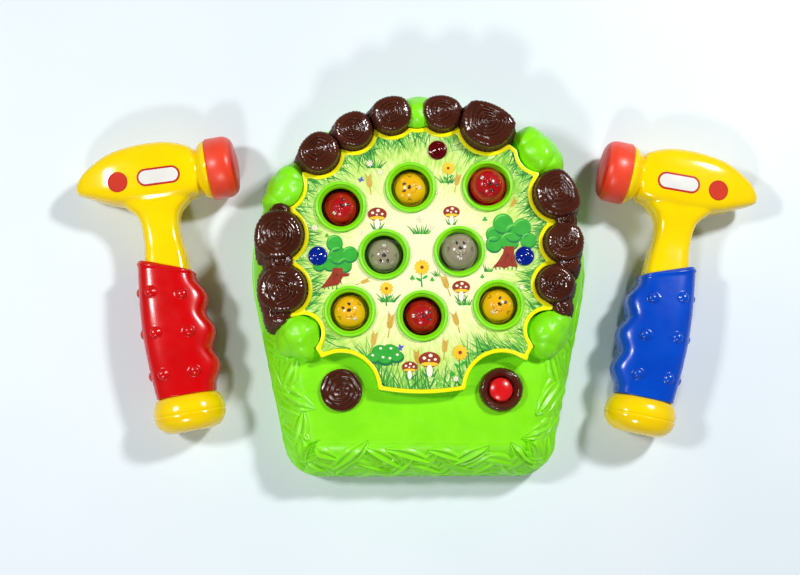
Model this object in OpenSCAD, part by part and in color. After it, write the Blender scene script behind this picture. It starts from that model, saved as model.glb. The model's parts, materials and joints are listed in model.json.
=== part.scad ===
// Whack-a-mole toy set: a game base with eight pop-up moles, and two toy mallets.
// Millimetres. +X right, +Y away from the player, +Z up; the origin is on the floor under the middle.

/* [Housing] */
// Radius of the round back of the housing
body_r = 114; // [108:1:124]
// Reach of the housing from the middle of its round back to its front edge
front_reach = 141; // [132:1:155]
// Radius of the two front corners
corner_r = 25; // [23:1:30]
// Distance between the front corner centres
corner_span = 133; // [124:1:140]
// Height of the line where the two covers meet
split_z = 14; // [13:0.5:15]
// Height of the front deck
deck_z = 42; // [41:1:45]
// Rise of the playfield above the front deck
field_rise = 10; // [9:0.5:11]
// How far the wall slopes in between the split line and the deck
shoulder = 19; // [15:1:20]
// Ledge of the bottom cover outside the top cover
ledge = 1.5; // [1:0.1:2]
// Wall thickness of the covers
wall = 2.5; // [2.2:0.1:3]
// Clearance between pieces that are fixed together
fit_gap = 0.15; // [0.1:0.01:0.25]
// Height of the rubber feet under the bottom cover
foot_h = 2; // [1.5:0.1:3]
// Radius of a rubber foot
foot_r = 7; // [5:0.5:9]

/* [Playfield] */
// Width of the yellow border
border_w = 2.7; // [2:0.1:3.5]
// Thickness of the yellow border
border_t = 1.2; // [1:0.1:1.8]
// Thickness of the printed panel
panel_t = 0.8; // [0.5:0.1:1]
// Outer radius of a mole rim
rim_r = 16.8; // [16:0.1:17.5]
// Height of a mole rim above the playfield
rim_h = 3.5; // [2.5:0.1:4]
// Radius of the deck scallop round each front disc
lobe_r = 24; // [22:0.5:25]
// Radius of a lens
lens_r = 6.3; // [5.8:0.1:6.8]

/* [Stumps and bushes] */
// Height of the stump tops above the playfield
stump_h = 11; // [9:0.5:13]
// Widening of a stump per millimetre downward
stump_flare = 0.21; // [0.15:0.01:0.25]
// Lean of the stumps' outer faces towards the middle
stump_lean = 2; // [1:0.5:6]
// Wall thickness of the stump caps
cap_wall = 2.2; // [1.8:0.1:2.6]
// Spacing of the growth rings
growth_pitch = 2.6; // [2.2:0.1:3.2]
// Radius of a bush
bush_r = 13; // [11:0.5:14]

/* [Wall leaves] */
// Length of a leaf
leaf_len = 27; // [22:1:28]
// Width of a leaf
leaf_w = 14; // [11:0.5:15]
// Height of a leaf's rib above the wall
leaf_h = 2.2; // [1.5:0.1:2.4]
// Spacing of the leaves along the wall
leaf_step = 14.5; // [14:0.5:18]

/* [Moles] */
// Radius of a mole's skirt
mole_r = 11.3; // [10.8:0.1:11.6]
// Gap between a mole and its hole
mole_gap = 1.5; // [1:0.1:1.8]
// Radius of the dome on the skirt
dome_r = 10.7; // [9.6:0.1:10.9]
// Height of the dome
dome_h = 8.5; // [7.5:0.1:9.5]
// Travel of a mole
mole_travel = 10; // [8:0.5:10]
// Radius of a mole's stem
stem_r = 4; // [3.5:0.1:4.4]
// Radius of a mole spring, to the wire's middle
spring_r = 5.6; // [5.4:0.1:6]
// Thickness of the spring wire
spring_wire = 0.9; // [0.7:0.1:1]

/* [Drive] */
// Tooth size of the first gear pair
module_fast = 0.7; // [0.65:0.01:0.75]
// Tooth size of the second gear pair
module_slow = 0.9; // [0.86:0.01:0.92]
// Teeth of both pinions
pinion_teeth = 14; // [14:1:15]
// Teeth of the reduction gear
reduction_teeth = 30; // [28:1:32]
// Teeth of the trip wheel
trip_teeth = 36; // [34:1:37]
// Width of the gear faces
face_w = 4; // [3.5:0.1:4.5]
// Radius of the motor can
motor_r = 10; // [9:0.5:10.5]
// Length of the motor can
motor_len = 21; // [18:0.5:21.5]

/* [Front controls] */
// Radius of the start button
button_r = 7.6; // [7:0.1:8]
// Travel of the start button
button_travel = 2.5; // [2:0.1:3]
// Outer radius of the button bezel
bezel_r = 14.7; // [14:0.1:15.5]
// Height of the button bezel
bezel_h = 6; // [5:0.5:7]
// Radius of the stump ornament
ornament_r = 14; // [12:0.5:15]
// Radius of a battery cell
cell_r = 7.2; // [7:0.05:7.25]
// Length of a battery cell
cell_len = 50; // [49:0.1:50.5]
// Radius of the speaker
speaker_r = 18; // [16:0.5:20]

/* [Mallets] */
// Radius of the striker pad
pad_r = 21; // [20:0.5:22]
// Length of the striker pad
pad_len = 20; // [17:0.5:22]
// Length of the head from its middle to the beak tip
beak_len = 51; // [48:1:54]
// Half width of the grip at its middle
grip_hw = 22.5; // [21:0.5:23]
// Height of the finger waves
wave_h = 4; // [2:0.1:5]
// Height of the grip nubs
nub_h = 2.6; // [1.5:0.1:3]
// Half width of the butt cap
butt_hw = 24; // [22:0.5:26]
// Height of the butt cap
butt_len = 24; // [22:1:28]
// Wall thickness of the mallet shells
shell_wall = 2.4; // [2:0.1:3]
// Radius of a head plug
plug_r = 6.8; // [6:0.1:7.5]

/* [Hidden] */
$fn = 64;
green = "limegreen";
brown = "saddlebrown";
yellow = "gold";
eps = 0.01;

field_z = deck_z + field_rise;
back_y = (front_reach - body_r) / 2;
front_y = back_y - front_reach;
corner_x = corner_span / 2;
corner_y = front_y + corner_r;
corner_d = norm([corner_x, corner_y - back_y]);
tangent_a = atan2(corner_y - back_y, corner_x) + acos((body_r - corner_r) / corner_d);
floor_z = foot_h + wall;
deck_in = deck_z - wall;
field_in = field_z - wall;

// Layout of the playfield and its rim, in hundredths of the housing's radius
// from the middle of its round back, so that it spreads with the housing
unit = body_r / 100;
function spot(p) = [0, back_y] + unit * [p.x, p.y];
function round_spots(list) = [for (s = list) concat(spot(s), unit * s.z, len(s) > 3 ? [s[3]] : [])];

// Moles, [x, y], the way each face looks, and which stand raised
mole_spots = [for (p = [[-46.5, 32], [-6.1, 43.4], [38.6, 44.3], [-21.5, 4.4], [21.9, 6.1], [-41.2, -28.5],
  [0.4, -31.1], [44.3, -25]]) spot(p)];
mole_face = [225, 0, 140, 90, 270, 305, 180, 230];
mole_raised = [0, 0, 1, 0, 1, 0, 0, 0];
mole_colour = ["crimson", "gold", "crimson", "tan", "tan", "gold", "crimson", "gold"];
// Stumps, [x, y, radius at the playfield, extra height in millimetres]
stumps_bl = round_spots([[-59.6, 63.6, 13.2, 0], [-39.5, 76.8, 12.3, -1], [-17.1, 86.4, 12.7, 0]]);
stumps_br = round_spots([[12.3, 87.7, 12.3, -1], [39, 81.1, 16.7, 3]]);
stumps_r = round_spots([[79.8, 39.9, 15.4, 0], [82.5, 11.4, 12.3, 1], [77.2, -12.7, 11.8, -1]]);
stumps_l = round_spots([[-82.5, 15.4, 15.4, 0], [-79.8, -15.8, 14.9, -1]]);
// Scallops left for the bushes, [x, y, radius], and the bushes, [x, y]; the last one stands at the back
bush_bays = round_spots([[-83.3, 45.2, 15.4], [68.9, 65.4, 12.7], [-68.4, -41.2, 11], [72.4, -39.5, 11.8],
  [-2.2, 90.8, 12.7]]);
bushes = [for (p = [[-77.2, 41.2], [69.3, 65.4], [-68.9, -40.8], [72.8, -39.5], [-2.2, 86.4]]) spot(p)];
// Deck left clear in front of the two front bushes and behind the right one, [x, y, radius]
deck_bays = round_spots([[-70.2, -59.2, 13.2], [74.1, -58.3, 13.6], [80.5, -27, 5]]);
// The playfield's outline is a large circle with a flatter arc along its front
field_c = spot([0, 0.4]);
field_r = 86 * unit;
front_arc = spot([0, 56.1]);
front_arc_r = 131.6 * unit;
disc_spot = spot([46.1, -73.2]);
blue_spot = spot([59.6, 3.5]);
red_spot = spot([9.6, 65.4]);

// Mole heights
hole_r = mole_r + mole_gap;
mole_low = field_z + rim_h - 0.3;
flange_r = hole_r + 1;
flange_t = 2;
flange_drop = mole_low + mole_travel - (field_in - 0.35);
frame_z = 16;
frame_t = 3;
seat_z = frame_z + frame_t;
stem_len = mole_low - (floor_z + 1);
spring_low = seat_z + 0.1;
seat_up = 2;
function mole_top(i) = mole_low + mole_raised[i] * mole_travel;

// Gear places
wheel_c = spot([0.2, 5.3]);
slow_a = 80;
fast_a = 20;
slow_d = (pinion_teeth + trip_teeth) * module_slow / 2;
fast_d = (pinion_teeth + reduction_teeth) * module_fast / 2;
reduction_c = wheel_c + slow_d * [cos(slow_a), sin(slow_a)];
motor_c = reduction_c + fast_d * [cos(fast_a), sin(fast_a)];
addendum = 0.8;
dedendum = 1.1;
backlash = 0.1;
run_gap = 0.06;
wheel_z = floor_z + 1.5;
post_r = 3;
axle_r = 1.5;
fast_z = seat_z + 1.2;
motor_z = fast_z + face_w + 2.5;
arm_z = wheel_z + face_w + 1.6;

// Case and frame fixings: the case screws stand under four stumps and in the front corners
function beside(stump, step) = [stump.x, stump.y] + step;
case_screws_at = [beside(stumps_l[0], [10, -4]), beside(stumps_r[1], [-8, 0.5]),
  beside(stumps_br[1], [-5.5, -11]), beside(stumps_bl[1], [6, -6]),
  [-corner_x - 2.5, corner_y + 5.5], [corner_x + 2.5, corner_y + 5.5]];
frame_posts = [for (p = [[-56.1, 36.4], [47.4, 51.3], [-50.9, -33.8], [53.5, -30.3]]) spot(p)];
feet_at = [spot([-73.7, 39]), spot([73.7, 39]),
  [-corner_x + 6.5, corner_y - 9.5], [corner_x - 6.5, corner_y - 9.5]];
boss_r = 4.2;
screw_r = 1.45;
head_r = 2.9;
// Battery bay behind the front edge, with a plate and a spring cone at each cell
bay = [cell_len + 3, 3 * (2 * cell_r + 0.4) + 1];
bay_c = [0, front_y + bay.y / 2 + 13];
door = [bay.x + 3, bay.y + 3];
door_ear = [0, bay_c.y + door.y / 2 + 3];
cell_z = floor_z + cell_r + 0.2;
cell_pitch = 2 * cell_r + 0.4;
contact_t = 0.6;
contact_in = 0.2;
cone_h = 1.65;
cell_low = contact_in + contact_t + cone_h;
speaker_c = [-disc_spot.x - 7, disc_spot.y + 14];
// Circuit board under the start button, hung from bosses beside it
board = [42, 34];
board_c = disc_spot + [-9.5, -2];
board_bosses = [[8.5, 11], [8.5, -14], [-26.5, -14]];
board_t = 1.6;
board_z = 28;

// Footprint of the housing, shrunk by an inset
function arc(c, r, a0, a1, n) = [for (i = [0:n]) let (a = a0 + (a1 - a0) * i / n) c + r * [cos(a), sin(a)]];
function footprint(inset) = concat(
  arc([corner_x, corner_y], corner_r - inset, -90, tangent_a, 8),
  arc([0, back_y], body_r - inset, tangent_a, 180 - tangent_a, 44),
  arc([-corner_x, corner_y], corner_r - inset, 180 - tangent_a, 270, 8));
function lift(points, z) = [for (p = points) [p.x, p.y, z]];

// Solid through a list of point rings, each run counter-clockwise seen from the last ring
module skin(rings) {
  n = len(rings[0]);
  m = len(rings);
  bottom = [[for (i = [0:n - 1]) i]];
  top = [[for (i = [n - 1:-1:0]) (m - 1) * n + i]];
  sides = [for (j = [0:m - 2]) for (i = [0:n - 1]) let (k = (i + 1) % n)
    each [[j * n + i, j * n + n + i, j * n + n + k], [j * n + i, j * n + n + k, j * n + k]]];
  polyhedron([for (r = rings) each r], concat(bottom, top, sides));
}

// Wall of the top cover: how far it stands in at a height between 0 and 1
function shell_inset(t) = ledge + (shoulder - ledge) * pow(t, 2.2);
module shell(inset, top) {
  span = deck_z - split_z;
  skin([for (t = [0, 0.3, 0.55, 0.78, 1])
    lift(footprint(shell_inset(t) + inset),
      t == 0 ? split_z - (inset > 0 ? 1 : 0) : split_z + span * t - top)]);
}

// Place on the wall's outline, [x, y, way it faces], by the distance from the middle of the front
corner_run = corner_r * (tangent_a + 90) * PI / 180;
side_run = sqrt(corner_d * corner_d - pow(body_r - corner_r, 2));
function right_wall(s) = let (
  turn = min(max(s - corner_x, 0) / corner_run, 1), a = -90 + turn * (tangent_a + 90),
  past = max(s - corner_x - corner_run, 0), before = min(s - corner_x, 0))
  [corner_x + before + corner_r * cos(a) - past * sin(a), corner_y + corner_r * sin(a) + past * cos(a), a];
function wall_spot(s) = let (p = right_wall(abs(s))) s < 0 ? [-p.x, p.y, 180 - p.z] : p;
// Point on the wall at a height between 0 and 1, standing off it
wall_span = deck_z - split_z;
function wall_tilt(t) = atan(2.2 * (shoulder - ledge) * pow(t, 1.2) / wall_span);
function on_wall(s, t, off) = let (p = wall_spot(s), inset = shell_inset(t) - off * cos(wall_tilt(t)))
  [p.x - inset * cos(p.z), p.y - inset * sin(p.z), split_z + wall_span * t + off * sin(wall_tilt(t))];

// A leaf in relief on the wall: root, side, tip, side, two points of its rib, and two under it in the wall
leaf_sunk = 0.6;
leaf_root = 1.6;
leaf_plan = [[-0.5, 0, -leaf_sunk], [-0.1, 0.5, -leaf_sunk], [0.5, 0, -leaf_sunk], [-0.1, -0.5, -leaf_sunk],
  [-0.25, 0, leaf_h], [0.15, 0, 0.85 * leaf_h], [-0.25, 0, -leaf_root], [0.15, 0, -leaf_root]];
module leaf(s, t, turn) {
  points = [for (p = leaf_plan) let (along = p.x * leaf_len, across = p.y * leaf_w,
    down = along * cos(turn) - across * sin(turn), beside = along * sin(turn) + across * cos(turn))
    on_wall(s + beside, min(max(t - down * cos(wall_tilt(t)) / wall_span, 0.03), 0.98), p.z)];
  polyhedron(points, [[0, 1, 4], [4, 1, 5], [1, 2, 5], [2, 3, 5], [5, 3, 4], [3, 0, 4],
    [1, 0, 6], [1, 6, 7], [2, 1, 7], [3, 2, 7], [3, 7, 6], [0, 3, 6]]);
}

// Rows of leaves round the front and the sides, up to the stumps, their tips turned to either side
leaf_rows = [0.4, 0.74];
leaf_reach = corner_x + corner_run + 0.64 * side_run;
leaf_count = floor(leaf_reach / leaf_step);
module wall_leaves() {
  for (row = [0, 1]) for (k = [-leaf_count:leaf_count - row]) let (turn = 40 + 8 * (abs(k) % 4))
    leaf((k + row / 2) * leaf_step, leaf_rows[row], (abs(k) + row) % 2 == 0 ? turn : -turn);
}

// Playfield outline, shrunk by an inset
module field(inset) {
  difference() {
    intersection() {
      translate(field_c) circle(field_r - inset);
      translate(front_arc) circle(front_arc_r - inset);
    }
    for (s = concat(stumps_bl, stumps_br, stumps_r, stumps_l, bush_bays, deck_bays))
      translate([s.x, s.y]) circle(s.z + inset);
    for (side = [-1, 1]) translate([side * disc_spot.x, disc_spot.y]) circle(lobe_r + inset);
  }
}

module bush_balls(extra) {
  for (b = bushes) translate([b.x, b.y, deck_z + 5]) {
    sphere(bush_r + extra);
    rotate(atan2(b.y - field_c.y, b.x)) for (side = [-1, 1])
      translate([1, side * bush_r * 0.6, -2]) sphere(bush_r * 0.75 + extra);
  }
}

module at_moles() {
  for (p = mole_spots) translate(p) children();
}

module at_lenses() {
  for (p = [[-blue_spot.x, blue_spot.y], blue_spot, red_spot]) translate(p) children();
}

module rim() {
  rotate_extrude() polygon([[hole_r - 1, -1], [rim_r, -1], [rim_r, rim_h - 1.1], [rim_r - 0.4, rim_h - 0.3],
    [rim_r - 1.15, rim_h], [rim_r - 1.9, rim_h - 0.3], [rim_r - 2.4, rim_h - 1.4], [rim_r - 2.9, rim_h - 1.6],
    [hole_r - 0.1, 0.4], [hole_r - 1, 0.4]]);
}

module top_cover() {
  color(green) {
    difference() {
      union() {
        shell(0, 0);
        translate([0, 0, deck_z - eps]) linear_extrude(field_rise + eps) field(0);
        difference() {
          bush_balls(0);
          translate([0, 0, field_z - eps]) linear_extrude(30) field(-eps);
          translate([0, 0, deck_z - 40]) cylinder(h = 36, r = 200);
        }
        translate([0, 0, field_z]) at_moles() rim();
        wall_leaves();
      }
      shell(wall, wall);
      translate([0, 0, deck_in - 1]) linear_extrude(field_rise + 1) field(wall);
      translate([0, 0, field_in - 1]) at_moles() cylinder(h = 20, r = hole_r);
      translate([0, 0, field_in - 1]) at_lenses() cylinder(h = 9, r = lens_r - 1.1);
      translate([disc_spot.x, disc_spot.y, deck_in - 1]) cylinder(h = 9, r = button_r + 0.4);
      for (side = [-1, 1]) translate([side * pin_x - disc_spot.x, disc_spot.y, deck_in - 1])
        cylinder(h = 9, r = pin_r + fit_gap);
    }
    for (p = case_screws_at) translate([p.x, p.y, split_z]) difference() {
      cylinder(h = deck_in - split_z + 0.5, r = boss_r);
      translate([0, 0, -1]) cylinder(h = 14, r = screw_r + 0.05);
    }
    for (p = board_bosses) translate([disc_spot.x + p.x, disc_spot.y + p.y, board_z + board_t])
      cylinder(h = deck_in - board_z - board_t + 0.5, r = 3);
  }
}

module bottom_cover() {
  color(green) {
    difference() {
      skin([lift(footprint(2.5), foot_h), lift(footprint(0.6), foot_h + 3), lift(footprint(0), split_z)]);
      skin([lift(footprint(wall + 2), floor_z), lift(footprint(wall + 1.2), floor_z + 2),
        lift(footprint(wall + 1.2), split_z + 1)]);
      translate([bay_c.x, bay_c.y, floor_z]) cube([door.x, door.y, 3 * wall], center = true);
      translate([door_ear.x, door_ear.y, 0]) cylinder(h = floor_z + 1, r = 6.3);
      for (p = feet_at) translate([p.x, p.y, foot_h - 1]) cylinder(h = 1.8, r = foot_r + fit_gap);
      for (p = case_screws_at) translate([p.x, p.y, 0]) cylinder(h = floor_z + 1, r = head_r + 0.3);
      translate(speaker_c) for (k = [0:5]) rotate(60 * k) for (q = [6, 12])
        translate([q, 0, 0]) cylinder(h = floor_z + 1, r = 1.2);
    }
    for (p = case_screws_at) translate([p.x, p.y, foot_h]) difference() {
      cylinder(h = split_z - foot_h, r = boss_r);
      translate([0, 0, -1]) cylinder(h = 4.5, r = head_r + 0.3);
      translate([0, 0, -1]) cylinder(h = split_z, r = screw_r + 0.25);
    }
    for (p = frame_posts) translate([p.x, p.y, floor_z - 0.5]) difference() {
      cylinder(h = frame_z - floor_z + 0.5, r = boss_r);
      translate([0, 0, 3]) cylinder(h = 20, r = screw_r + 0.05);
    }
    translate([wheel_c.x, wheel_c.y, floor_z - 0.5]) {
      cylinder(h = wheel_z - floor_z + 0.2, r = post_r + 2);
      cylinder(h = frame_z - floor_z + 0.3, r = post_r);
    }
    translate([reduction_c.x, reduction_c.y, floor_z - 0.5]) difference() {
      cylinder(h = wheel_z - floor_z + 0.2, r = axle_r + 2);
      translate([0, 0, 0.5]) cylinder(h = 10, r = axle_r + 0.02);
    }
    translate([bay_c.x, bay_c.y, floor_z - 0.5]) difference() {
      translate([-bay.x / 2 - 3, -bay.y / 2 - 3, 0]) cube([bay.x + 6, bay.y + 6, 13]);
      translate([-bay.x / 2, -bay.y / 2, -1]) cube([bay.x, bay.y, 30]);
      translate([-door.x / 2, -door.y / 2, -1]) cube([door.x, door.y, 1.6]);
      translate([door_ear.x, door_ear.y - bay_c.y, -1]) cylinder(h = 1.6, r = 6.3);
    }
    translate([door_ear.x, door_ear.y, floor_z + 0.1]) difference() {
      translate([-4, -3, 0]) cube([8, 7, 10]);
      translate([0, 0, -1]) cylinder(h = 9, r = screw_r + 0.05);
    }
    translate([speaker_c.x, speaker_c.y, floor_z - 0.5]) difference() {
      cylinder(h = 4.5, r = speaker_r + 2);
      translate([0, 0, -1]) cylinder(h = 9, r = speaker_r + fit_gap);
    }
  }
}

module playfield_panel() {
  color("palegreen") translate([0, 0, field_z]) difference() {
    linear_extrude(panel_t) field(border_w + fit_gap);
    translate([0, 0, -1]) at_moles() cylinder(h = 4, r = rim_r + fit_gap);
    translate([0, 0, -1]) at_lenses() cylinder(h = 4, r = lens_r - 1.1);
  }
}

module panel_border() {
  color("yellow") translate([0, 0, field_z]) difference() {
    linear_extrude(border_t) field(0);
    translate([0, 0, -1]) linear_extrude(border_t + 2) field(border_w);
  }
}

// Profile points of the growth rings on a stump top, from the outside in
function growth_grooves(rings, top) = [for (k = [rings:-1:1]) let (r = k * growth_pitch)
  each [[r + 1, top], [r + 0.5, top - 0.6], [r, top]]];

// One stump with growth rings on its top; a thinner copy hollows it out
module stump(s, inner) {
  top = field_z + stump_h + s[3] - inner;
  low = split_z + fit_gap - (inner > 0 ? 1 : 0);
  r_top = s.z - stump_flare * stump_h - inner;
  r_low = s.z + stump_flare * (field_z - low) - inner;
  rings = floor((r_top - 3) / growth_pitch);
  grooves = inner > 0 ? [] : growth_grooves(rings, top);
  translate([s.x, s.y, 0]) rotate_extrude()
    polygon(concat([[0, low], [r_low, low], [r_top + 0.3, top - 1.5], [r_top - 1.2, top]],
      grooves, [[0, top]]));
}

// Stumps of one group as one cap, which stays on its own side of the bush at the back
module stump_group(list) {
  back = bushes[4];
  side = list[0].x > back.x ? 1 : -1;
  reach = 2 * body_r;
  color(brown) difference() {
    intersection() {
      for (s = list) stump(s, 0);
      skin([lift(footprint(ledge), split_z + fit_gap),
        lift(footprint(ledge + stump_lean), field_z + stump_h + 10)]);
    }
    intersection() {
      for (s = list) stump(s, cap_wall);
      skin([lift(footprint(ledge + cap_wall), split_z - 2),
        lift(footprint(ledge + cap_wall + stump_lean), field_z + stump_h + 9)]);
    }
    shell(-fit_gap, -fit_gap);
    translate([0, 0, deck_z - 1]) linear_extrude(field_rise + 30) field(-fit_gap);
    bush_balls(fit_gap);
    translate([back.x - side * (reach - fit_gap) / 2, 0, 0]) cube([reach, 2 * reach, reach], center = true);
  }
}

module stumps_back_left() stump_group(stumps_bl);
module stumps_back_right() stump_group(stumps_br);
module stumps_right() stump_group(stumps_r);
module stumps_left() stump_group(stumps_l);

// The ornament's height, and its two pins through the deck
ornament_h = 3.5;
pin_x = 7;
pin_r = 1.85;
module stump_ornament() {
  grooves = growth_grooves(floor((ornament_r - 3) / growth_pitch), ornament_h);
  color(brown) translate([-disc_spot.x, disc_spot.y, deck_z]) {
    rotate_extrude() polygon(concat([[0, 0], [ornament_r, 0], [ornament_r, ornament_h - 1.1],
      [ornament_r - 1.1, ornament_h]], grooves, [[0, ornament_h]]));
    for (side = [-1, 1]) translate([side * pin_x, 0, -wall - 1.5]) cylinder(h = wall + 2, r = pin_r);
  }
}

module button_bezel() {
  color(brown) translate([disc_spot.x, disc_spot.y, deck_z]) rotate_extrude()
    polygon([[button_r + 1.2, 0], [bezel_r, 0], [bezel_r - 0.8, bezel_h - 1.5], [bezel_r - 2.2, bezel_h],
      [button_r + 3.4, bezel_h], [button_r + 2.6, bezel_h - 1], [button_r + 1.2, 2]]);
}

module lens(spot, tint) {
  cap = 2.6;
  ball = (lens_r * lens_r + cap * cap) / (2 * cap);
  color(tint) translate([spot.x, spot.y, field_z + panel_t]) difference() {
    union() {
      intersection() {
        translate([0, 0, cap - ball]) sphere(ball);
        cylinder(h = cap + 1, r = lens_r);
      }
      translate([0, 0, -panel_t - wall - 3]) cylinder(h = panel_t + wall + 3.2, r = lens_r - 1.3);
    }
    translate([0, 0, -20]) cylinder(h = 20.5, r = 2.6);
  }
}

module lens_blue_left() lens([-blue_spot.x, blue_spot.y], "blue");
module lens_blue_right() lens(blue_spot, "blue");
module lens_red() lens(red_spot, "darkred");

module lamp_leds() {
  color("white") translate([0, 0, field_in - 5]) at_lenses() {
    cylinder(h = 6, r = 2.5);
    translate([0, 0, 0.9]) cylinder(h = 1, r = 3);
    for (side = [-1, 1]) translate([side * 1.2, 0, -6]) cylinder(h = 6.5, r = 0.3);
  }
}

module circuit_board() {
  color("darkgreen") translate([board_c.x, board_c.y, board_z]) {
    translate([-board.x / 2, -board.y / 2, 0]) cube([board.x, board.y, board_t]);
    translate([-10, -13, board_t - 0.1]) cube([12, 7, 2.1]);
    for (k = [0:1]) translate([5 + 5 * k, 11, board_t - 0.1]) cylinder(h = 4.1, r = 1.8);
  }
}

// Height of the switch body on the board, and the button above it
switch_z = board_z + board_t;
switch_h = 3;
button_top = deck_z + 4.5;
plunger_z = switch_z + switch_h + 1 + button_travel;

module start_switch() {
  color("dimgray") translate([disc_spot.x, disc_spot.y, switch_z]) {
    translate([-3, -3, 0]) cube([6, 6, switch_h]);
    cylinder(h = switch_h + 0.7, r = 1.6);
  }
}

module start_button() {
  color("red") translate([disc_spot.x, disc_spot.y, 0]) {
    translate([0, 0, deck_in - 1.7]) cylinder(h = button_top - deck_in - 0.3, r = button_r);
    translate([0, 0, button_top - 2 - eps]) cylinder(h = 1.4, r1 = button_r, r2 = button_r - 1.6);
    translate([0, 0, deck_in - 1.9]) cylinder(h = 1.6, r = button_r + 1.6);
    translate([0, 0, plunger_z]) cylinder(h = deck_in - 1.5 - plunger_z, r = 2.2);
  }
}

// Coil from z = 0 with a round wire; the ends lie flat against their seats
module coil(r, wire, height, turns) {
  around = 8;
  steps = turns * around;
  pitch = (height - wire) / turns;
  sides = 6;
  echo(coil_gap = pitch - wire);
  skin([for (k = [0:steps]) let (a = 360 * k / around, z = wire / 2 + pitch * k / around)
    [for (j = [0:sides - 1]) let (b = -360 * j / sides + 30, q = r + wire / 2 * cos(b))
      [q * cos(a), q * sin(a), z + wire / 2 * sin(b)]]]);
}

module start_spring() {
  color("silver") translate([disc_spot.x, disc_spot.y, switch_z + 0.05])
    coil(5.2, 0.6, deck_in - 1.9 - switch_z - 0.1, 4);
}

module speaker() {
  color("dimgray") translate([speaker_c.x, speaker_c.y, floor_z]) {
    cylinder(h = 3, r = speaker_r);
    cylinder(h = 8, r = speaker_r * 0.6);
  }
}

module at_cells() {
  for (k = [-1:1]) translate([bay_c.x - bay.x / 2, bay_c.y + k * cell_pitch, cell_z])
    rotate([0, 90, 0]) children();
}

module battery_cells() {
  color("orange") translate([cell_low + 0.05, 0, 0]) at_cells() {
    cylinder(h = cell_len - 1.6, r = cell_r);
    cylinder(h = cell_len - 0.6, r = 2.6);
  }
}

module battery_contacts() {
  plate = 11;
  color("silver") {
    for (x = [contact_in, bay.x - contact_in - contact_t]) translate([x, 0, 0]) at_cells()
      translate([-plate / 2, -plate / 2, 0]) cube([plate, plate, contact_t]);
    translate([contact_in + contact_t - 0.1, 0, 0]) at_cells() cylinder(h = cone_h + 0.1, r1 = 4.5, r2 = 2);
  }
}

module battery_door() {
  color(green) difference() {
    union() {
      translate([bay_c.x - door.x / 2 + 0.3, bay_c.y - door.y / 2 + 0.3, foot_h])
        cube([door.x - 0.6, door.y - 0.6, wall]);
      translate([door_ear.x, door_ear.y, foot_h]) cylinder(h = wall, r = 6);
    }
    translate([door_ear.x, door_ear.y, 0]) cylinder(h = 9, r = screw_r + 0.25);
    translate([door_ear.x, door_ear.y, 0]) cylinder(h = foot_h + 1.5, r = head_r + 0.3);
  }
}

// Screw with its head underneath, point up
module screw(length) {
  cylinder(h = 1.4, r = head_r);
  cylinder(h = length, r = screw_r);
}

module case_screws() {
  color("silver") {
    for (p = case_screws_at) translate([p.x, p.y, foot_h + 2.1]) screw(18);
    translate([door_ear.x, door_ear.y, foot_h + 0.1]) screw(9);
  }
}

module frame_screws() {
  color("silver") for (p = frame_posts) translate([p.x, p.y, seat_z + 1.4]) mirror([0, 0, 1]) screw(10);
}

module rubber_feet() {
  color("black") for (p = feet_at) translate([p.x, p.y, 0]) cylinder(h = foot_h + 0.8, r = foot_r);
}

module guide_frame() {
  legs = [[8, -9], [8, 9], [-1, -12.5], [-3, 12]];
  color("lightgray") {
    translate([0, 0, frame_z]) difference() {
      linear_extrude(frame_t) {
        at_moles() circle(9);
        for (p = frame_posts) translate(p) circle(6);
        translate(wheel_c) circle(13);
        for (p = mole_spots) bar(wheel_c, p, 9);
        for (k = [0:3]) bar(mole_spots[[0, 2, 5, 7][k]], frame_posts[k], 8);
        translate(motor_c) circle(16);
        translate(reduction_c) circle(12);
      }
      translate([0, 0, -1]) at_moles() cylinder(h = 9, r = stem_r + run_gap + 0.02);
      for (p = frame_posts) translate([p.x, p.y, -1]) cylinder(h = 9, r = screw_r + 0.2);
      translate([reduction_c.x, reduction_c.y, -1]) cylinder(h = 9, r = pinion_teeth * module_slow / 2 + 1.2);
    }
    translate([motor_c.x, motor_c.y, 0]) {
      for (p = legs) translate([p.x, p.y, seat_z - 0.5]) cylinder(h = motor_z - seat_z - 0.5, r = 2);
      translate([0, 0, motor_z - 1.8]) difference() {
        linear_extrude(1.8) {
          circle(motor_r + 1);
          for (p = legs) translate(p) circle(3);
        }
        translate([0, 0, -1]) cylinder(h = 9, r = 3.4);
      }
    }
  }
}

// Flat bar from a to b
module bar(a, b, w) {
  d = b - a;
  translate(a) rotate(atan2(d.y, d.x)) translate([0, -w / 2]) square([norm(d), w]);
}

module latch_spider() {
  color("ivory") translate([0, 0, arm_z]) difference() {
    union() {
      translate([wheel_c.x, wheel_c.y, 0]) cylinder(h = frame_z - arm_z, r = post_r + 4);
      linear_extrude(1.5) for (p = mole_spots)
        bar(wheel_c, p - (stem_r + 0.5) * (p - wheel_c) / norm(p - wheel_c), 4);
    }
    translate([wheel_c.x, wheel_c.y, -1]) cylinder(h = 20, r = post_r + 0.1);
  }
}

module gear_axle() {
  color("silver") translate([reduction_c.x, reduction_c.y, floor_z])
    cylinder(h = fast_z + face_w + 1 - floor_z, r = axle_r);
}

module drive_motor() {
  color("silver") translate([motor_c.x, motor_c.y, motor_z]) difference() {
    union() {
      cylinder(h = motor_len, r = motor_r);
      translate([0, 0, -1.5]) cylinder(h = 3, r = 3);
    }
    translate([0, 0, -5]) cylinder(h = 14, r = 1 + run_gap);
  }
}

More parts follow.
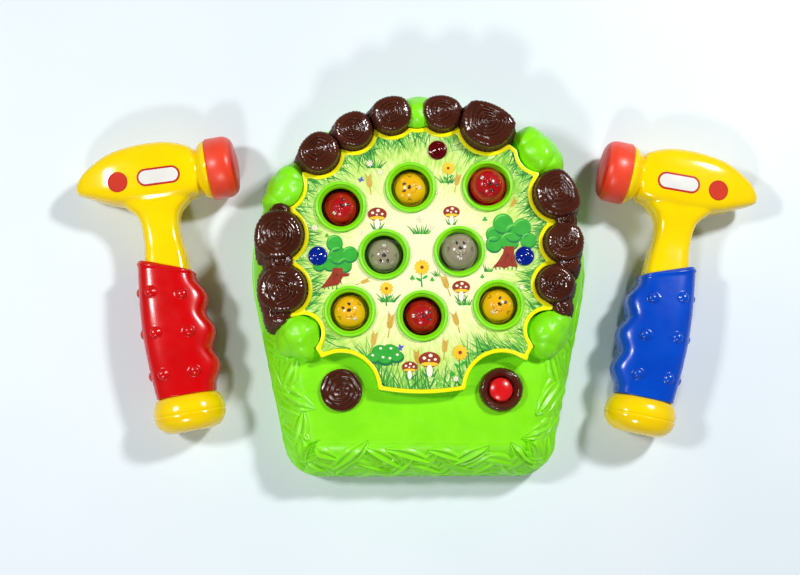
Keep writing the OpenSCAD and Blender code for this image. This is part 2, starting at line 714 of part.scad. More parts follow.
// Involute gear outline
function involute(a) = tan(a) * 180 / PI - a;
function flank(r, base, half) = half + involute(20) - (r > base ? involute(acos(base / r)) : 0);
module gear(teeth, size, phase, h) {
  r = teeth * size / 2;
  base = r * cos(20);
  half = 90 / teeth - backlash / r * 180 / PI;
  radii = [r - dedendum * size, max(base, r - 0.7 * size), r, r + addendum * size];
  linear_extrude(h) polygon([for (t = [0:teeth - 1]) for (k = [0:7])
    let (q = k < 4 ? radii[k] : radii[7 - k], f = flank(q, base, half),
      a = phase + 360 * t / teeth + (k < 4 ? -f : f))
    q * [cos(a), sin(a)]]);
}

module motor_pinion() {
  color("white") translate([motor_c.x, motor_c.y, fast_z]) {
    gear(pinion_teeth, module_fast, fast_a + 180 + 180 / pinion_teeth, face_w);
    cylinder(h = motor_z - fast_z + 8, r = 1);
  }
}

module reduction_gear() {
  color("white") translate([reduction_c.x, reduction_c.y, 0]) difference() {
    union() {
      translate([0, 0, wheel_z]) gear(pinion_teeth, module_slow, slow_a + 180 + 180 / pinion_teeth, face_w);
      translate([0, 0, wheel_z]) cylinder(h = fast_z - wheel_z + 1, r = 3);
      translate([0, 0, fast_z]) gear(reduction_teeth, module_fast, fast_a, face_w);
    }
    translate([0, 0, wheel_z - 1]) cylinder(h = 40, r = axle_r + run_gap);
  }
}

module trip_wheel() {
  color("white") translate([wheel_c.x, wheel_c.y, wheel_z]) difference() {
    union() {
      gear(trip_teeth, module_slow, slow_a, face_w);
      for (stud = [[0, 10.5], [130, 11.7], [250, 12.9]]) rotate(stud[0])
        translate([stud[1], 0, face_w - 0.5]) cylinder(h = 1.7, r = 1.3);
    }
    translate([0, 0, -1]) cylinder(h = 20, r = post_r + run_gap);
  }
}

module mole(i) {
  ball = (dome_r * dome_r + dome_h * dome_h) / (2 * dome_h);
  skirt = flange_drop + flange_t;
  color(mole_colour[i]) translate([mole_spots[i].x, mole_spots[i].y, mole_top(i)]) rotate(mole_face[i] + 90) {
    difference() {
      union() {
        intersection() {
          translate([0, 0, -ball]) sphere(ball);
          translate([0, 0, -dome_h - 0.5]) cylinder(h = 30, r = dome_r + 1);
        }
        translate([0, 0, -skirt]) cylinder(h = skirt - dome_h, r = mole_r);
        translate([0, 0, -skirt]) cylinder(h = flange_t, r = flange_r);
        sphere(1.5);
        translate([-1.6, -dome_r + 1, -dome_h + 0.4]) cube([3.2, 2.4, 2.6]);
      }
      translate([0, 0, -skirt - 1]) cylinder(h = skirt + 1 - dome_h, r = mole_r - 1.8);
      translate([0, 0, -dome_h - 1]) cylinder(h = 1 + seat_up, r1 = mole_r - 1.8, r2 = dome_r - 3);
      for (side = [-1, 1]) translate([side * 2.2, 4.8, -0.9]) sphere(1.2);
    }
    translate([0, 0, -stem_len]) cylinder(h = stem_len - 2.5, r = stem_r);
  }
}

module mole_spring(i) {
  color("silver") translate([mole_spots[i].x, mole_spots[i].y, spring_low])
    coil(spring_r, spring_wire, mole_top(i) - dome_h + seat_up - 0.1 - spring_low, 5);
}

module mole_1() mole(0);
module mole_2() mole(1);
module mole_3() mole(2);
module mole_4() mole(3);
module mole_5() mole(4);
module mole_6() mole(5);
module mole_7() mole(6);
module mole_8() mole(7);
module mole_spring_1() mole_spring(0);
module mole_spring_2() mole_spring(1);
module mole_spring_3() mole_spring(2);
module mole_spring_4() mole_spring(3);
module mole_spring_5() mole_spring(4);
module mole_spring_6() mole_spring(5);
module mole_spring_7() mole_spring(6);
module mole_spring_8() mole_spring(7);

// Mallet frame: x along the head to the pad, y along the handle to the head, z up from the middle plane
axis_z = pad_r;
mallet_x = body_r + 68.5;
mallet_left = [-mallet_x, 76.9, 10];
mallet_right = [mallet_x + 0.3, 73, 12];
cup_at = [31.5, -3.2];
cup_h = 8;
peg_r = 6;
// Red plugs in the two side faces, centred at a height from the middle plane
plug_at = [-21, -4.2];
plug_z = 13.8;
plug_t = 4;
// Head sections, [x, middle y, half height, half thickness]
head_secs = [[-beak_len, -2.6, 2.5, 4.5], [-beak_len + 3, -1.7, 5.3, 7.5], [-42, -0.3, 9.6, 10.5],
  [-26, 0.1, 17.4, 14.5], [-7, -0.3, 20.8, 16.5], [12, -1, 20.8, 16.5], [24, -2.4, 18.6, 15.8],
  [30.5, -3.2, 15.8, 14.8]];
// Neck sections, [y, middle x, half width, half thickness]
neck_secs = [[-8, 1, 22, 13], [-17, 1.8, 24, 13.5], [-22, 2.2, 20.6, 13.3], [-26.6, 1.8, 16, 13],
  [-31, 1.4, 13.6, 12.6], [-38, 1.2, 12.5, 12.2], [-47, 1.2, 12.6, 12.3], [-58, 1.2, 14.2, 13.4],
  [-72, 0, 16, 14.5], [-90, 0, 16, 14.5], [-152, 0, 16, 14.5]];
grip_top = -58;
grip_low = -152;
grip_slant = 12;
butt_ht = axis_z;

function oval(hx, hy, n, power) = [for (i = [0:n - 1]) let (a = 360 * i / n, c = cos(a), s = sin(a))
  [hx * sign(c) * pow(abs(c), power), hy * sign(s) * pow(abs(s), power)]];

module at_left() {
  translate([mallet_left.x, mallet_left.y, axis_z]) rotate(mallet_left.z) children();
}

module at_right() {
  translate([mallet_right.x, mallet_right.y, axis_z]) rotate(-mallet_right.z) mirror([1, 0, 0]) children();
}

module head_skin(inset) {
  skin([for (s = head_secs) let (half = [max(s[2] - inset, 0.8), max(s[3] - inset, 0.8)])
    [for (p = oval(half.x, half.y, 20, 0.85)) [s[0] + (s[0] < -40 ? inset : 0), s[1] + p.x, p.y]]]);
}

module neck_skin(inset) {
  skin([for (k = [len(neck_secs) - 1:-1:0]) let (s = neck_secs[k])
    [for (p = oval(s[2] - inset, s[3] - inset, 20, 0.9)) [s[1] - p.x, s[0], p.y]]]);
}

// Place of the turned cup at the striking end
module at_cup() {
  translate([cup_at.x, cup_at.y, 0]) rotate([0, 90, 0]) children();
}

module mallet_shell(up) {
  color(yellow) intersection() {
    difference() {
      union() {
        head_skin(0);
        neck_skin(0);
        at_cup() rotate_extrude() polygon([[0, -6], [13.6, -6], [14.6, 0], [17.5, 2.5], [pad_r - 1.6, 5.5],
          [pad_r - 0.8, cup_h], [0, cup_h]]);
      }
      head_skin(shell_wall);
      neck_skin(shell_wall);
      at_cup() cylinder(h = 20, r = peg_r + fit_gap);
      for (side = [-1, 1]) translate([plug_at.x, plug_at.y, side * (plug_z + 1)])
        cylinder(h = plug_t + 2, r = plug_r + fit_gap, center = true);
    }
    translate([-200, -300, up ? 0 : -100]) cube([400, 400, 100]);
  }
}

module mallet_pad() {
  color("tomato") at_cup() {
    translate([0, 0, cup_h]) rotate_extrude() polygon([[0, 0], [pad_r, 0], [pad_r, pad_len - 7],
      [pad_r - 1, pad_len - 3.5], [pad_r - 4, pad_len - 1], [pad_r - 9, pad_len], [0, pad_len]]);
    translate([0, 0, 2]) cylinder(h = cup_h, r = peg_r);
  }
}

// Grip surface: half sizes along the sleeve plus finger waves on one side and three rows of nubs
function grip_span(t) = grip_hw - 4.8 + 2 * t + 3.3 * sin(180 * t);
function grip_rise(t) = 0.8 * (grip_hw - 3 + 3 * sin(180 * t));
function bump(d, w) = d < w ? pow(cos(90 * d / w), 2) : 0;
wave_at = [0.33, 0.6, 0.85];
nub_at = [0.27, 0.55, 0.83];
nub_angles = [-125, -65, 0, 65, 125];
module mallet_grip(tint) {
  n = 40;
  m = 28;
  handle = neck_secs[len(neck_secs) - 1];
  bore = oval(handle[2] + fit_gap, handle[3] + fit_gap, 20, 0.9);
  color(tint) difference() {
    skin([for (j = [0:m]) let (t = 1 - j / m, h = grip_span(t)) [for (p = oval(1, 1, n, 0.92)) let (
      a = atan2(p.y, p.x), near_wave = min([for (w = wave_at) abs(t - w)]),
      near_nub = min([for (w = nub_at) abs(t - w)]),
      y0 = grip_low + (grip_top - grip_low) * (1 - t),
      y = y0 - grip_slant * (1 - t) * (1 - p.x) / 2,
      beside_nub = min([for (q = nub_angles) abs(a - q)]),
      side = p.x < -0.7 ? wave_h * bump(near_wave, 0.13) : 0,
      nub = p.x >= -0.7 ? nub_h * bump(near_nub, 0.045) * bump(beside_nub, 16) : 0)
      [-p.x * (h + side + nub), y, p.y * (grip_rise(t) + nub)]]]);
    skin([for (y = [grip_low - 8, grip_top + 8]) [for (p = bore) [-p.x, y, p.y]]]);
  }
}

module mallet_butt() {
  rings = [[0, 0.8], [1.5, 0.88], [6, 0.97], [10.5, 1], [butt_len - 7.5, 0.97], [butt_len - 3, 0.83],
    [butt_len, 0.55]];
  color(yellow) difference() {
    skin([for (k = [len(rings) - 1:-1:0]) let (r = rings[k])
      [for (p = oval(butt_hw * r[1], butt_ht * r[1], 36, 1)) [-p.x, grip_low - fit_gap - r[0], p.y]]]);
    translate([0, grip_low + 1, 0]) rotate([90, 0, 0]) cylinder(h = butt_len - 4, r = 11);
  }
}

module mallet_plugs() {
  color("red") for (side = [-1, 1]) translate([plug_at.x, plug_at.y, side * plug_z])
    cylinder(h = plug_t, r = plug_r, center = true);
}

module left_shell_upper() at_left() mallet_shell(true);
module left_shell_lower() at_left() mallet_shell(false);
module left_pad() at_left() mallet_pad();
module left_grip() at_left() mallet_grip("firebrick");
module left_butt() at_left() mallet_butt();
module left_plugs() at_left() mallet_plugs();
module right_shell_upper() at_right() mallet_shell(true);
module right_shell_lower() at_right() mallet_shell(false);
module right_pad() at_right() mallet_pad();
module right_grip() at_right() mallet_grip("royalblue");
module right_butt() at_right() mallet_butt();
module right_plugs() at_right() mallet_plugs();

top_cover();
bottom_cover();
playfield_panel();
panel_border();
stumps_back_left();
stumps_back_right();
stumps_right();
stumps_left();
stump_ornament();
button_bezel();
lens_blue_left();
lens_blue_right();
lens_red();
lamp_leds();
circuit_board();
start_switch();
start_button();
start_spring();
speaker();
battery_cells();
battery_contacts();
battery_door();
case_screws();
frame_screws();
rubber_feet();
guide_frame();
latch_spider();
gear_axle();
drive_motor();
motor_pinion();
reduction_gear();
trip_wheel();
mole_1();
mole_2();
mole_3();
mole_4();
mole_5();
mole_6();
mole_7();
mole_8();
mole_spring_1();
mole_spring_2();
mole_spring_3();
mole_spring_4();
mole_spring_5();
mole_spring_6();
mole_spring_7();
mole_spring_8();
left_shell_upper();
left_shell_lower();
left_pad();
left_grip();
left_butt();
left_plugs();
right_shell_upper();
right_shell_lower();
right_pad();
right_grip();
right_butt();
right_plugs();
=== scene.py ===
# %% [markdown]
# # A whack-a-mole toy set
# The set is a green game base with eight moles on springs, and two toy mallets.
# The engineering model is loaded first as a fixed frame. Every piece made below is drawn in that
# frame, in millimetres that one helper turns into metres, and rides on one of its bodies. Most pieces
# take the place of the plain solid of the same piece.

# %% Load the frame
import bisect
import json
import math
import random

import bmesh
import bpy
from mathutils import Matrix, Vector, noise
from mathutils.bvhtree import BVHTree
from mathutils.geometry import tessellate_polygon


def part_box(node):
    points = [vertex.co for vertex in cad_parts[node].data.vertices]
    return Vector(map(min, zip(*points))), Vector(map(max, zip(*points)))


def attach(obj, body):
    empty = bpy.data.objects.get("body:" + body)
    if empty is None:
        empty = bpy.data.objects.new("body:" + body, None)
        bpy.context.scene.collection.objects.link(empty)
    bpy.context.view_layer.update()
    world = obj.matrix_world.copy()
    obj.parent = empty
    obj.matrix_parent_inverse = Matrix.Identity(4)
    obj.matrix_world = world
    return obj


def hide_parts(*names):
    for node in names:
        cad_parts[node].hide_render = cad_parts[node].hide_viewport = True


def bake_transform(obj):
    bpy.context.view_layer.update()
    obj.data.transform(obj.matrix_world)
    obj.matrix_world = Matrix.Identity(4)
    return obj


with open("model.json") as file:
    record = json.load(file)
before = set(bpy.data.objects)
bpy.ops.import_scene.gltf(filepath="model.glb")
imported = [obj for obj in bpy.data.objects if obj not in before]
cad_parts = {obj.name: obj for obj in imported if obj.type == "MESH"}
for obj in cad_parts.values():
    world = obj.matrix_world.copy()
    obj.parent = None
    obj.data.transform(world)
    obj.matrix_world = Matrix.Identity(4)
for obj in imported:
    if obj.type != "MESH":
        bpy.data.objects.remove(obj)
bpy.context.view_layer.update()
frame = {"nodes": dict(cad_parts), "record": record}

MM = 0.001

# %% [markdown]
# ## Camera
# The photograph looks almost straight down from about 0.9 m. A camera could be turned by eye, but
# a position, a forward direction and an up direction can be written down and kept.
# The lens follows from the picture's width in pixels and the focal length in the same pixels.

# %% Camera
PHOTO_WIDTH_PX = 800
FOCAL_PX = 1300
CAMERA_AT = Vector((-39.5, -87.2, 899.9)) * MM
CAMERA_FORWARD = Vector((0.0298, 0.0985, -0.9947)).normalized()
CAMERA_UP = Vector((-0.0002, 0.9951, 0.0986))
camera_data = bpy.data.cameras.new("photo_camera")
camera_data.sensor_width = 36
camera_data.lens = camera_data.sensor_width * FOCAL_PX / PHOTO_WIDTH_PX
camera = bpy.data.objects.new("photo_camera", camera_data)
camera_right = CAMERA_FORWARD.cross(CAMERA_UP).normalized()
camera_up = camera_right.cross(CAMERA_FORWARD)
camera_turn = Matrix((camera_right, camera_up, -CAMERA_FORWARD)).transposed()
camera.matrix_world = Matrix.Translation(CAMERA_AT) @ camera_turn.to_4x4()
bpy.context.scene.collection.objects.link(camera)
bpy.context.scene.camera = camera
print("camera lens:", round(camera_data.lens, 1), "mm")

# %% [markdown]
# ## Driving sizes
# The solids grow from a few sizes in millimetres, and the pieces below take the same ones. The
# round back of the housing sets the scale: most places on top of the toy are hundredths of its
# radius, measured from its middle.

# %% Driving sizes
BODY_R, FRONT_REACH = 114.0, 141.0
SPLIT_Z, DECK_Z, FIELD_Z = 14.0, 42.0, 52.0
BACK_Y = (FRONT_REACH - BODY_R) / 2
UNIT = BODY_R / 100


def spot(x, y):
    """Place from hundredths of the housing's radius, measured from the middle of its round back."""
    return UNIT * x, BACK_Y + UNIT * y


FIELD_C = spot(0, 0.4)
print("playfield middle:", [round(c, 2) for c in FIELD_C], "mm")

# %% [markdown]
# ## Helpers for meshes
# Most pieces of a moulded toy are skins through rings of points, or turned profiles. One function
# skins a list of rings, one turns a profile, and one makes the finished object: smooth shaded, with
# sharp edges only where faces meet at a steep angle, so that highlights run softly over the plastic.

# %% Points and rings
def round_turns(count):
    """Equal turns round a circle."""
    return [math.tau * i / count for i in range(count)]


def polar(x, y, away, turn):
    """The point at a distance from (x, y), in the direction of a turn."""
    return x + away * math.cos(turn), y + away * math.sin(turn)


def turned(u, v, turn):
    """The step (u, v) turned round the origin."""
    return u * math.cos(turn) - v * math.sin(turn), u * math.sin(turn) + v * math.cos(turn)


def circle(x, y, radius, z, around):
    """A level ring of points."""
    return [(*polar(x, y, radius, a), z) for a in round_turns(around)]


def smooth_step(low, high, value):
    """From 0 at low to 1 at high, with a soft start and end."""
    t = min(max((value - low) / (high - low), 0.0), 1.0)
    return t * t * (3 - 2 * t)


def soft_least(first, second, blend):
    """The smaller of two lengths, rounded off where they are nearly equal."""
    near = max(blend - abs(first - second), 0) / blend
    return min(first, second) - near * near * blend / 4


def rough(x, y, z):
    """Smooth noise from about -1 to 1."""
    return noise.noise(Vector((x, y, z)))


print("a ring of six turns:", [round(math.degrees(a)) for a in round_turns(6)])

# %% [markdown]
# A mesh is kept as two lists until it is finished: its points in millimetres, and its faces, which
# name their corners by number. Blender's own primitives could be pushed into shape by hand, but lists
# can be worked out from sizes, and mirrored, moved and joined before there is an object.

# %% Meshes and objects
SHARP_ANGLE = 38


def loft(rings, closed=True, cap_first=False, cap_last=False):
    """Skin through rings of equally many points."""
    count = len(rings[0])
    points = [p for ring in rings for p in ring]
    faces = []
    for j in range(len(rings) - 1):
        for i in range(count if closed else count - 1):
            k = (i + 1) % count
            faces.append((j * count + i, j * count + k, (j + 1) * count + k, (j + 1) * count + i))
    if cap_first:
        faces.append(tuple(range(count))[::-1])
    if cap_last:
        faces.append(tuple(range(len(points) - count, len(points))))
    return points, faces


def lathe(x, y, profile, around=96, cap_first=False, cap_last=False):
    """Turned piece on a vertical axis; the profile is a list of (radius, height)."""
    return loft([circle(x, y, r, z, around) for r, z in profile], cap_first=cap_first, cap_last=cap_last)


def flat_sheet(outer, holes, z):
    """A flat sheet with holes, facing up."""
    loops = [[Vector((p[0], p[1], 0)) for p in loop] for loop in [outer] + holes]
    points = [Vector((p.x, p.y, z)) for loop in loops for p in loop]
    faces = []
    for a, b, c in tessellate_polygon(loops):
        facing = (points[b] - points[a]).cross(points[c] - points[a]).z
        faces.append((a, b, c) if facing > 0 else (a, c, b))
    return points, faces


def moved(mesh, place):
    """The mesh with place applied to each point, turned inside out again if place mirrors."""
    points, faces = mesh
    turn = -1 if place.determinant() < 0 else 1
    return [place @ Vector(p) for p in points], [face[::turn] for face in faces]


def joined(meshes):
    """Several meshes as one, which may still overlap."""
    points, faces = [], []
    for some_points, some_faces in meshes:
        start = len(points)
        points += some_points
        faces += [tuple(i + start for i in face) for face in some_faces]
    return points, faces


def make(name, meshes, slot, stands_for=(), body="base", finish=None, sharp=SHARP_ANGLE):
    """One object from meshes in millimetres, riding on a body, in its slot's finish unless one is given."""
    points, faces = joined(meshes)
    mesh = bpy.data.meshes.new(name)
    mesh.from_pydata([Vector(p) * MM for p in points], [], faces)
    mesh.validate()
    mesh.polygons.foreach_set("use_smooth", [True] * len(mesh.polygons))
    mesh.set_sharp_from_angle(angle=math.radians(sharp))
    mesh.materials.append(finish or FINISH[slot])
    piece = bpy.data.objects.new(name, mesh)
    bpy.context.scene.collection.objects.link(piece)
    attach(piece, body)
    if stands_for:
        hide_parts(*stands_for)
    return piece


print("mesh helpers ready")

# %% [markdown]
# ## Finishes
# Injection-moulded plastic is never one flat colour: it has slight flow mottling, a fine skin like
# orange peel, and gloss that varies where it was handled. These effects are shared by almost
# every piece, so they are node groups with named inputs, and each material gives its own values.
# The Principled shader stays in the material. A few helpers keep the wiring short: a socket takes
# either a constant or another node's output.

# %% Colours and nodes
def srgb(red, green, blue):
    """Linear colour from 0 to 255 screen values."""
    def linear(c):
        c = c / 255
        return c / 12.92 if c <= 0.04045 else ((c + 0.055) / 1.055) ** 2.4
    return linear(red), linear(green), linear(blue), 1.0


def feed(tree, socket, source):
    """Give a socket a constant, or link it to an output."""
    if isinstance(source, bpy.types.NodeSocket):
        tree.links.new(source, socket)
    else:
        socket.default_value = source


def add_node(tree, kind, settings=None, **sources):
    """A node with its settings, and its sockets fed by name with _ for a space."""
    node = tree.nodes.new("ShaderNode" + kind)
    for label, value in (settings or {}).items():
        setattr(node, label, value)
    for label, source in sources.items():
        feed(tree, node.inputs[label.replace("_", " ")], source)
    return node


def math_of(tree, kind, operation, *sources):
    """Outputs of a Math or VectorMath node that is fed in order."""
    node = add_node(tree, kind, {"operation": operation})
    for socket, source in zip(node.inputs, sources):
        feed(tree, socket, source)
    return node.outputs


def noise_of(tree, coords, scale, detail=2.0):
    """Noise from 0 to 1 over a surface."""
    return add_node(tree, "TexNoise", Vector=coords, Scale=scale, Detail=detail).outputs["Fac"]


def spread(tree, value, low, high, to_low=0.0, to_high=1.0):
    """The value's range from low to high, spread over another range."""
    node = add_node(tree, "MapRange", Value=value, From_Min=low, From_Max=high, To_Min=to_low, To_Max=to_high)
    return node.outputs["Result"]


# The Mix node has a set of sockets for each kind of data; these are the ones for colours
MIX_FACTOR, MIX_FIRST, MIX_SECOND, MIX_RESULT = 0, 6, 7, 2


def mix_colours(tree, factor, first, second):
    """The first colour at factor 0, the second at factor 1."""
    node = add_node(tree, "Mix", {"data_type": "RGBA"})
    for place, source in ((MIX_FACTOR, factor), (MIX_FIRST, first), (MIX_SECOND, second)):
        feed(tree, node.inputs[place], source)
    return node.outputs[MIX_RESULT]


print("middle grey in linear light:", round(srgb(128, 128, 128)[0], 3))

# %% [markdown]
# A group is built once, with named sockets on its outside, and then placed in every material that
# needs it. Copying its nodes into each material would work as well, but a change to the plastic would
# then have to be made in forty places.

# %% Groups and materials
def new_group(name, inputs, outputs):
    """A node group, and the sockets of its two ends; an input's value also tells its kind."""
    group = bpy.data.node_groups.new(name, "ShaderNodeTree")
    for label, value in inputs.items():
        kind = "NodeSocketColor" if isinstance(value, tuple) else "NodeSocketFloat"
        group.interface.new_socket(label, in_out="INPUT", socket_type=kind).default_value = value
    for label, kind in outputs.items():
        group.interface.new_socket(label, in_out="OUTPUT", socket_type="NodeSocket" + kind)
    return group, group.nodes.new("NodeGroupInput").outputs, group.nodes.new("NodeGroupOutput").inputs


def use_group(tree, group, values):
    """Outputs of a group that is placed in a tree and fed by name."""
    node = tree.nodes.new("ShaderNodeGroup")
    node.node_tree = group
    for label, source in values.items():
        feed(tree, node.inputs[label], source)
    return node.outputs


def new_material(name):
    """A material, its node tree and the inputs of its Principled shader."""
    material = bpy.data.materials.new(name)
    material.use_nodes = True
    tree = material.node_tree
    return material, tree, tree.nodes["Principled BSDF"].inputs


print("group and material helpers ready")

# %% [markdown]
# ### Moulded skin
# This group gives a colour that drifts a little between two tones, a roughness that
# varies in patches, and the fine orange peel of a moulded face as a normal.

# %% Moulded skin group
# Most of a noise lies between these two values
NOISE_LOW, NOISE_HIGH = 0.3, 0.7
PATCH_SCALE = 140.0
skin_group, skin_in, skin_out = new_group(
    "moulded_skin",
    {"Colour": (0.8, 0.8, 0.8, 1.0), "Second tone": (0.7, 0.7, 0.7, 1.0), "Mottle scale": 60.0,
     "Skin scale": 1500.0, "Skin depth": 0.00002, "Gloss": 0.25, "Gloss spread": 0.1},
    {"Colour": "Color", "Roughness": "Float", "Normal": "Vector"})
skin_at = add_node(skin_group, "TexCoord").outputs["Object"]
drift = spread(skin_group, noise_of(skin_group, skin_at, skin_in["Mottle scale"], 3.0), NOISE_LOW, NOISE_HIGH)
skin_colour = mix_colours(skin_group, drift, skin_in["Colour"], skin_in["Second tone"])
handling = noise_of(skin_group, skin_at, PATCH_SCALE, 4.0)
patches = spread(skin_group, handling, NOISE_LOW, NOISE_HIGH, -0.5, 0.5)
gloss = math_of(skin_group, "Math", "MULTIPLY_ADD", patches, skin_in["Gloss spread"], skin_in["Gloss"])
peel = noise_of(skin_group, skin_at, skin_in["Skin scale"], 1.0)
peel_bump = add_node(skin_group, "Bump", Strength=1.0, Height=peel, Distance=skin_in["Skin depth"])
feed(skin_group, skin_out["Colour"], skin_colour)
feed(skin_group, skin_out["Roughness"], gloss["Value"])
feed(skin_group, skin_out["Normal"], peel_bump.outputs["Normal"])
print("group:", skin_group.name)

# %% [markdown]
# ### Edge highlights and painted shade
# On relief such as bark, leaves and nubs, the edges are painted lighter, partly as wear and partly as a
# painted highlight, and the hollows are painted darker as painted shade. The Pointiness of the Geometry node
# tells one from the other on a dense mesh, so the group takes a colour and gives it back with both effects.

# %% Edge highlights and painted shade group
# Pointiness is 0.5 on a flat face, more on an edge and less in a hollow
EDGE_WEAR_HIGHLIGHT_RANGE = (0.515, 0.58)
PAINTED_SHADE_RANGE = (0.49, 0.42)
highlight_shade_group, highlight_shade_in, highlight_shade_out = new_group(
    "edge_highlight_and_painted_shade",
    {"Colour": (0.8, 0.8, 0.8, 1.0), "Edge wear and highlight tone": (1.0, 1.0, 1.0, 1.0), "Painted shade tone": (0.1, 0.1, 0.1, 1.0),
     "Edge wear and highlight amount": 0.3, "Painted shade amount": 0.4},
    {"Colour": "Color"})
pointed = add_node(highlight_shade_group, "NewGeometry").outputs["Pointiness"]
shaded = highlight_shade_in["Colour"]
# Hollows get a darker tone as painted shade; edges get a lighter tone that is partly wear and partly painted
# highlight
for effect, pointed_range in (("Painted shade", PAINTED_SHADE_RANGE), ("Edge wear and highlight", EDGE_WEAR_HIGHLIGHT_RANGE)):
    mask = spread(highlight_shade_group, pointed, *pointed_range)
    share = math_of(highlight_shade_group, "Math", "MULTIPLY", mask, highlight_shade_in[effect + " amount"])["Value"]
    shaded = mix_colours(highlight_shade_group, share, shaded, highlight_shade_in[effect + " tone"])
feed(highlight_shade_group, highlight_shade_out["Colour"], shaded)
print("group:", highlight_shade_group.name)

# %% [markdown]
# ### The plastics and the metals
# One function makes every moulded finish from the two groups. The numbers come from looking at the
# photograph: clean glossy housings, dark shiny stumps, soft satin grips, and dull rubber.

# %% Moulded finishes
def moulded(name, colour, second, gloss, gloss_spread=0.1, peel=0.00002, peel_scale=1500.0, mottle=60.0,
            edge=None, hollow=None, metallic=0.0, sheen=0.0):
    """A finish of two screen tones; edge is a lighter tone on edges, partly wear and partly painted
    highlight, and hollow a darker tone in hollows as painted shade, each with how strongly it shows.
    """
    material, tree, shader = new_material(name)
    skin = use_group(tree, skin_group, {
        "Colour": srgb(*colour), "Second tone": srgb(*second), "Mottle scale": mottle,
        "Skin scale": peel_scale, "Skin depth": peel, "Gloss": gloss, "Gloss spread": gloss_spread})
    base = skin["Colour"]
    # Edges get a lighter tone, partly wear and partly painted highlight; hollows get a darker tone as painted
    # shade
    if edge or hollow:
        edge_wear_highlight_tone, edge_wear_highlight_amount = edge or (colour, 0.0)
        painted_shade_tone, painted_shade_amount = hollow or (colour, 0.0)
        base = use_group(tree, highlight_shade_group, {
            "Colour": base, "Edge wear and highlight tone": srgb(*edge_wear_highlight_tone), "Painted shade tone": srgb(*painted_shade_tone),
            "Edge wear and highlight amount": edge_wear_highlight_amount, "Painted shade amount": painted_shade_amount})["Colour"]
    feed(tree, shader["Base Color"], base)
    feed(tree, shader["Roughness"], skin["Roughness"])
    feed(tree, shader["Normal"], skin["Normal"])
    feed(tree, shader["Metallic"], metallic)
    feed(tree, shader["Sheen Weight"], sheen)
    return material


# edge= paints edges a lighter tone, partly wear and partly painted highlight; hollow= paints hollows darker
# as painted shade
FINISH = {
    "housing_green": moulded("lime_housing", (140, 240, 14), (128, 232, 8), 0.34,
                             edge=((176, 250, 70), 0.3), hollow=((52, 142, 4), 0.75)),
    "border_yellow": moulded("yellow_border", (255, 250, 0), (254, 240, 0), 0.3),
    "stump_brown": moulded("chocolate_stump", (78, 33, 16), (62, 24, 11), 0.15, 0.08, 0.00005, 900.0,
                           edge=((112, 60, 40), 0.4), hollow=((34, 13, 8), 0.8)),
    "stump_bark": moulded("stump_bark", (84, 36, 20), (66, 27, 15), 0.62, 0.1, 0.00006, 900.0,
                          edge=((104, 56, 38), 0.5), hollow=((28, 11, 7), 0.8)),
    "lens_blue": moulded("blue_lens", (2, 36, 146), (1, 26, 122), 0.12, 0.04),
    "lens_red": moulded("red_lens", (104, 2, 6), (80, 0, 4), 0.12, 0.04),
    "led_white": moulded("lamp_epoxy", (236, 238, 240), (222, 226, 230), 0.12, 0.05),
    "board_green": moulded("solder_mask", (22, 92, 48), (16, 74, 40), 0.3, 0.2, mottle=400.0),
    "switch_black": moulded("black_plastic", (22, 19, 18), (32, 28, 26), 0.3),
    "button_red": moulded("red_button", (232, 26, 30), (216, 16, 20), 0.24, 0.08, edge=((248, 90, 84), 0.3)),
    "spring_steel": moulded("drawn_wire", (196, 198, 202), (168, 170, 176), 0.3, metallic=1.0),
    "screw_steel": moulded("plated_screw", (190, 190, 186), (160, 160, 158), 0.34, 0.14, metallic=1.0),
    "cell_can": moulded("cell_wrap", (206, 150, 48), (186, 130, 36), 0.3, metallic=0.6),
    "motor_can": moulded("motor_can", (176, 178, 180), (150, 152, 156), 0.36, 0.14, metallic=1.0),
    "foot_rubber": moulded("foot_rubber", (34, 33, 32), (46, 45, 43), 0.75, 0.15, 0.00008),
    "frame_white": moulded("frame_plastic", (226, 224, 216), (212, 210, 200), 0.45),
    "gear_white": moulded("gear_plastic", (236, 234, 228), (224, 222, 214), 0.36),
    "mole_red": moulded("mole_red", (190, 18, 24), (170, 8, 14), 0.2, 0.08,
                        edge=((226, 74, 66), 0.3), hollow=((84, 4, 6), 0.6)),
    "mole_yellow": moulded("mole_yellow", (250, 190, 22), (242, 172, 10), 0.2, 0.08,
                           edge=((255, 220, 110), 0.3), hollow=((170, 92, 4), 0.6)),
    "mole_grey": moulded("mole_grey", (164, 154, 128), (146, 136, 112), 0.2, 0.08,
                         edge=((206, 198, 176), 0.3), hollow=((70, 64, 50), 0.6)),
    "mallet_yellow": moulded("mallet_yellow", (255, 222, 0), (255, 214, 0), 0.15, 0.04,
                             edge=((255, 230, 40), 0.2), hollow=((214, 130, 0), 0.8)),
    "pad_orange": moulded("pad_rubber", (242, 68, 36), (234, 56, 28), 0.36, 0.1, 0.00004,
                          edge=((252, 100, 66), 0.3), sheen=0.1),
    # Painted shade: a darker red for the pad's end face, which turns away from the light
    "shaded_pad_face": moulded("shaded_pad_face", (214, 30, 16), (202, 22, 12), 0.36, 0.1, 0.00004),
    "grip_red": moulded("grip_red", (216, 1, 5), (204, 0, 4), 0.22, 0.06,
                        edge=((244, 60, 60), 0.2), hollow=((132, 0, 6), 0.7)),
    "grip_blue": moulded("grip_blue", (0, 75, 200), (0, 66, 186), 0.22, 0.06,
                         edge=((40, 116, 226), 0.2), hollow=((0, 34, 110), 0.7)),
    "plug_red": moulded("plug_red", (210, 46, 2), (200, 38, 1), 0.75, 0.06),
    "label_ring": moulded("label_ring", (196, 40, 30), (186, 34, 26), 0.3, 0.08),
}
print(len(FINISH), "moulded finishes")

# %% [markdown]
# ### The printed card
# The playfield is a printed sheet: cream in the middle, turning to lime towards its scalloped edge,
# with soft streaks of grass behind the drawn plants. The colour comes from the distance to
# the middle, broken up by noise that is stretched along the radius, and it takes a fine paper grain.

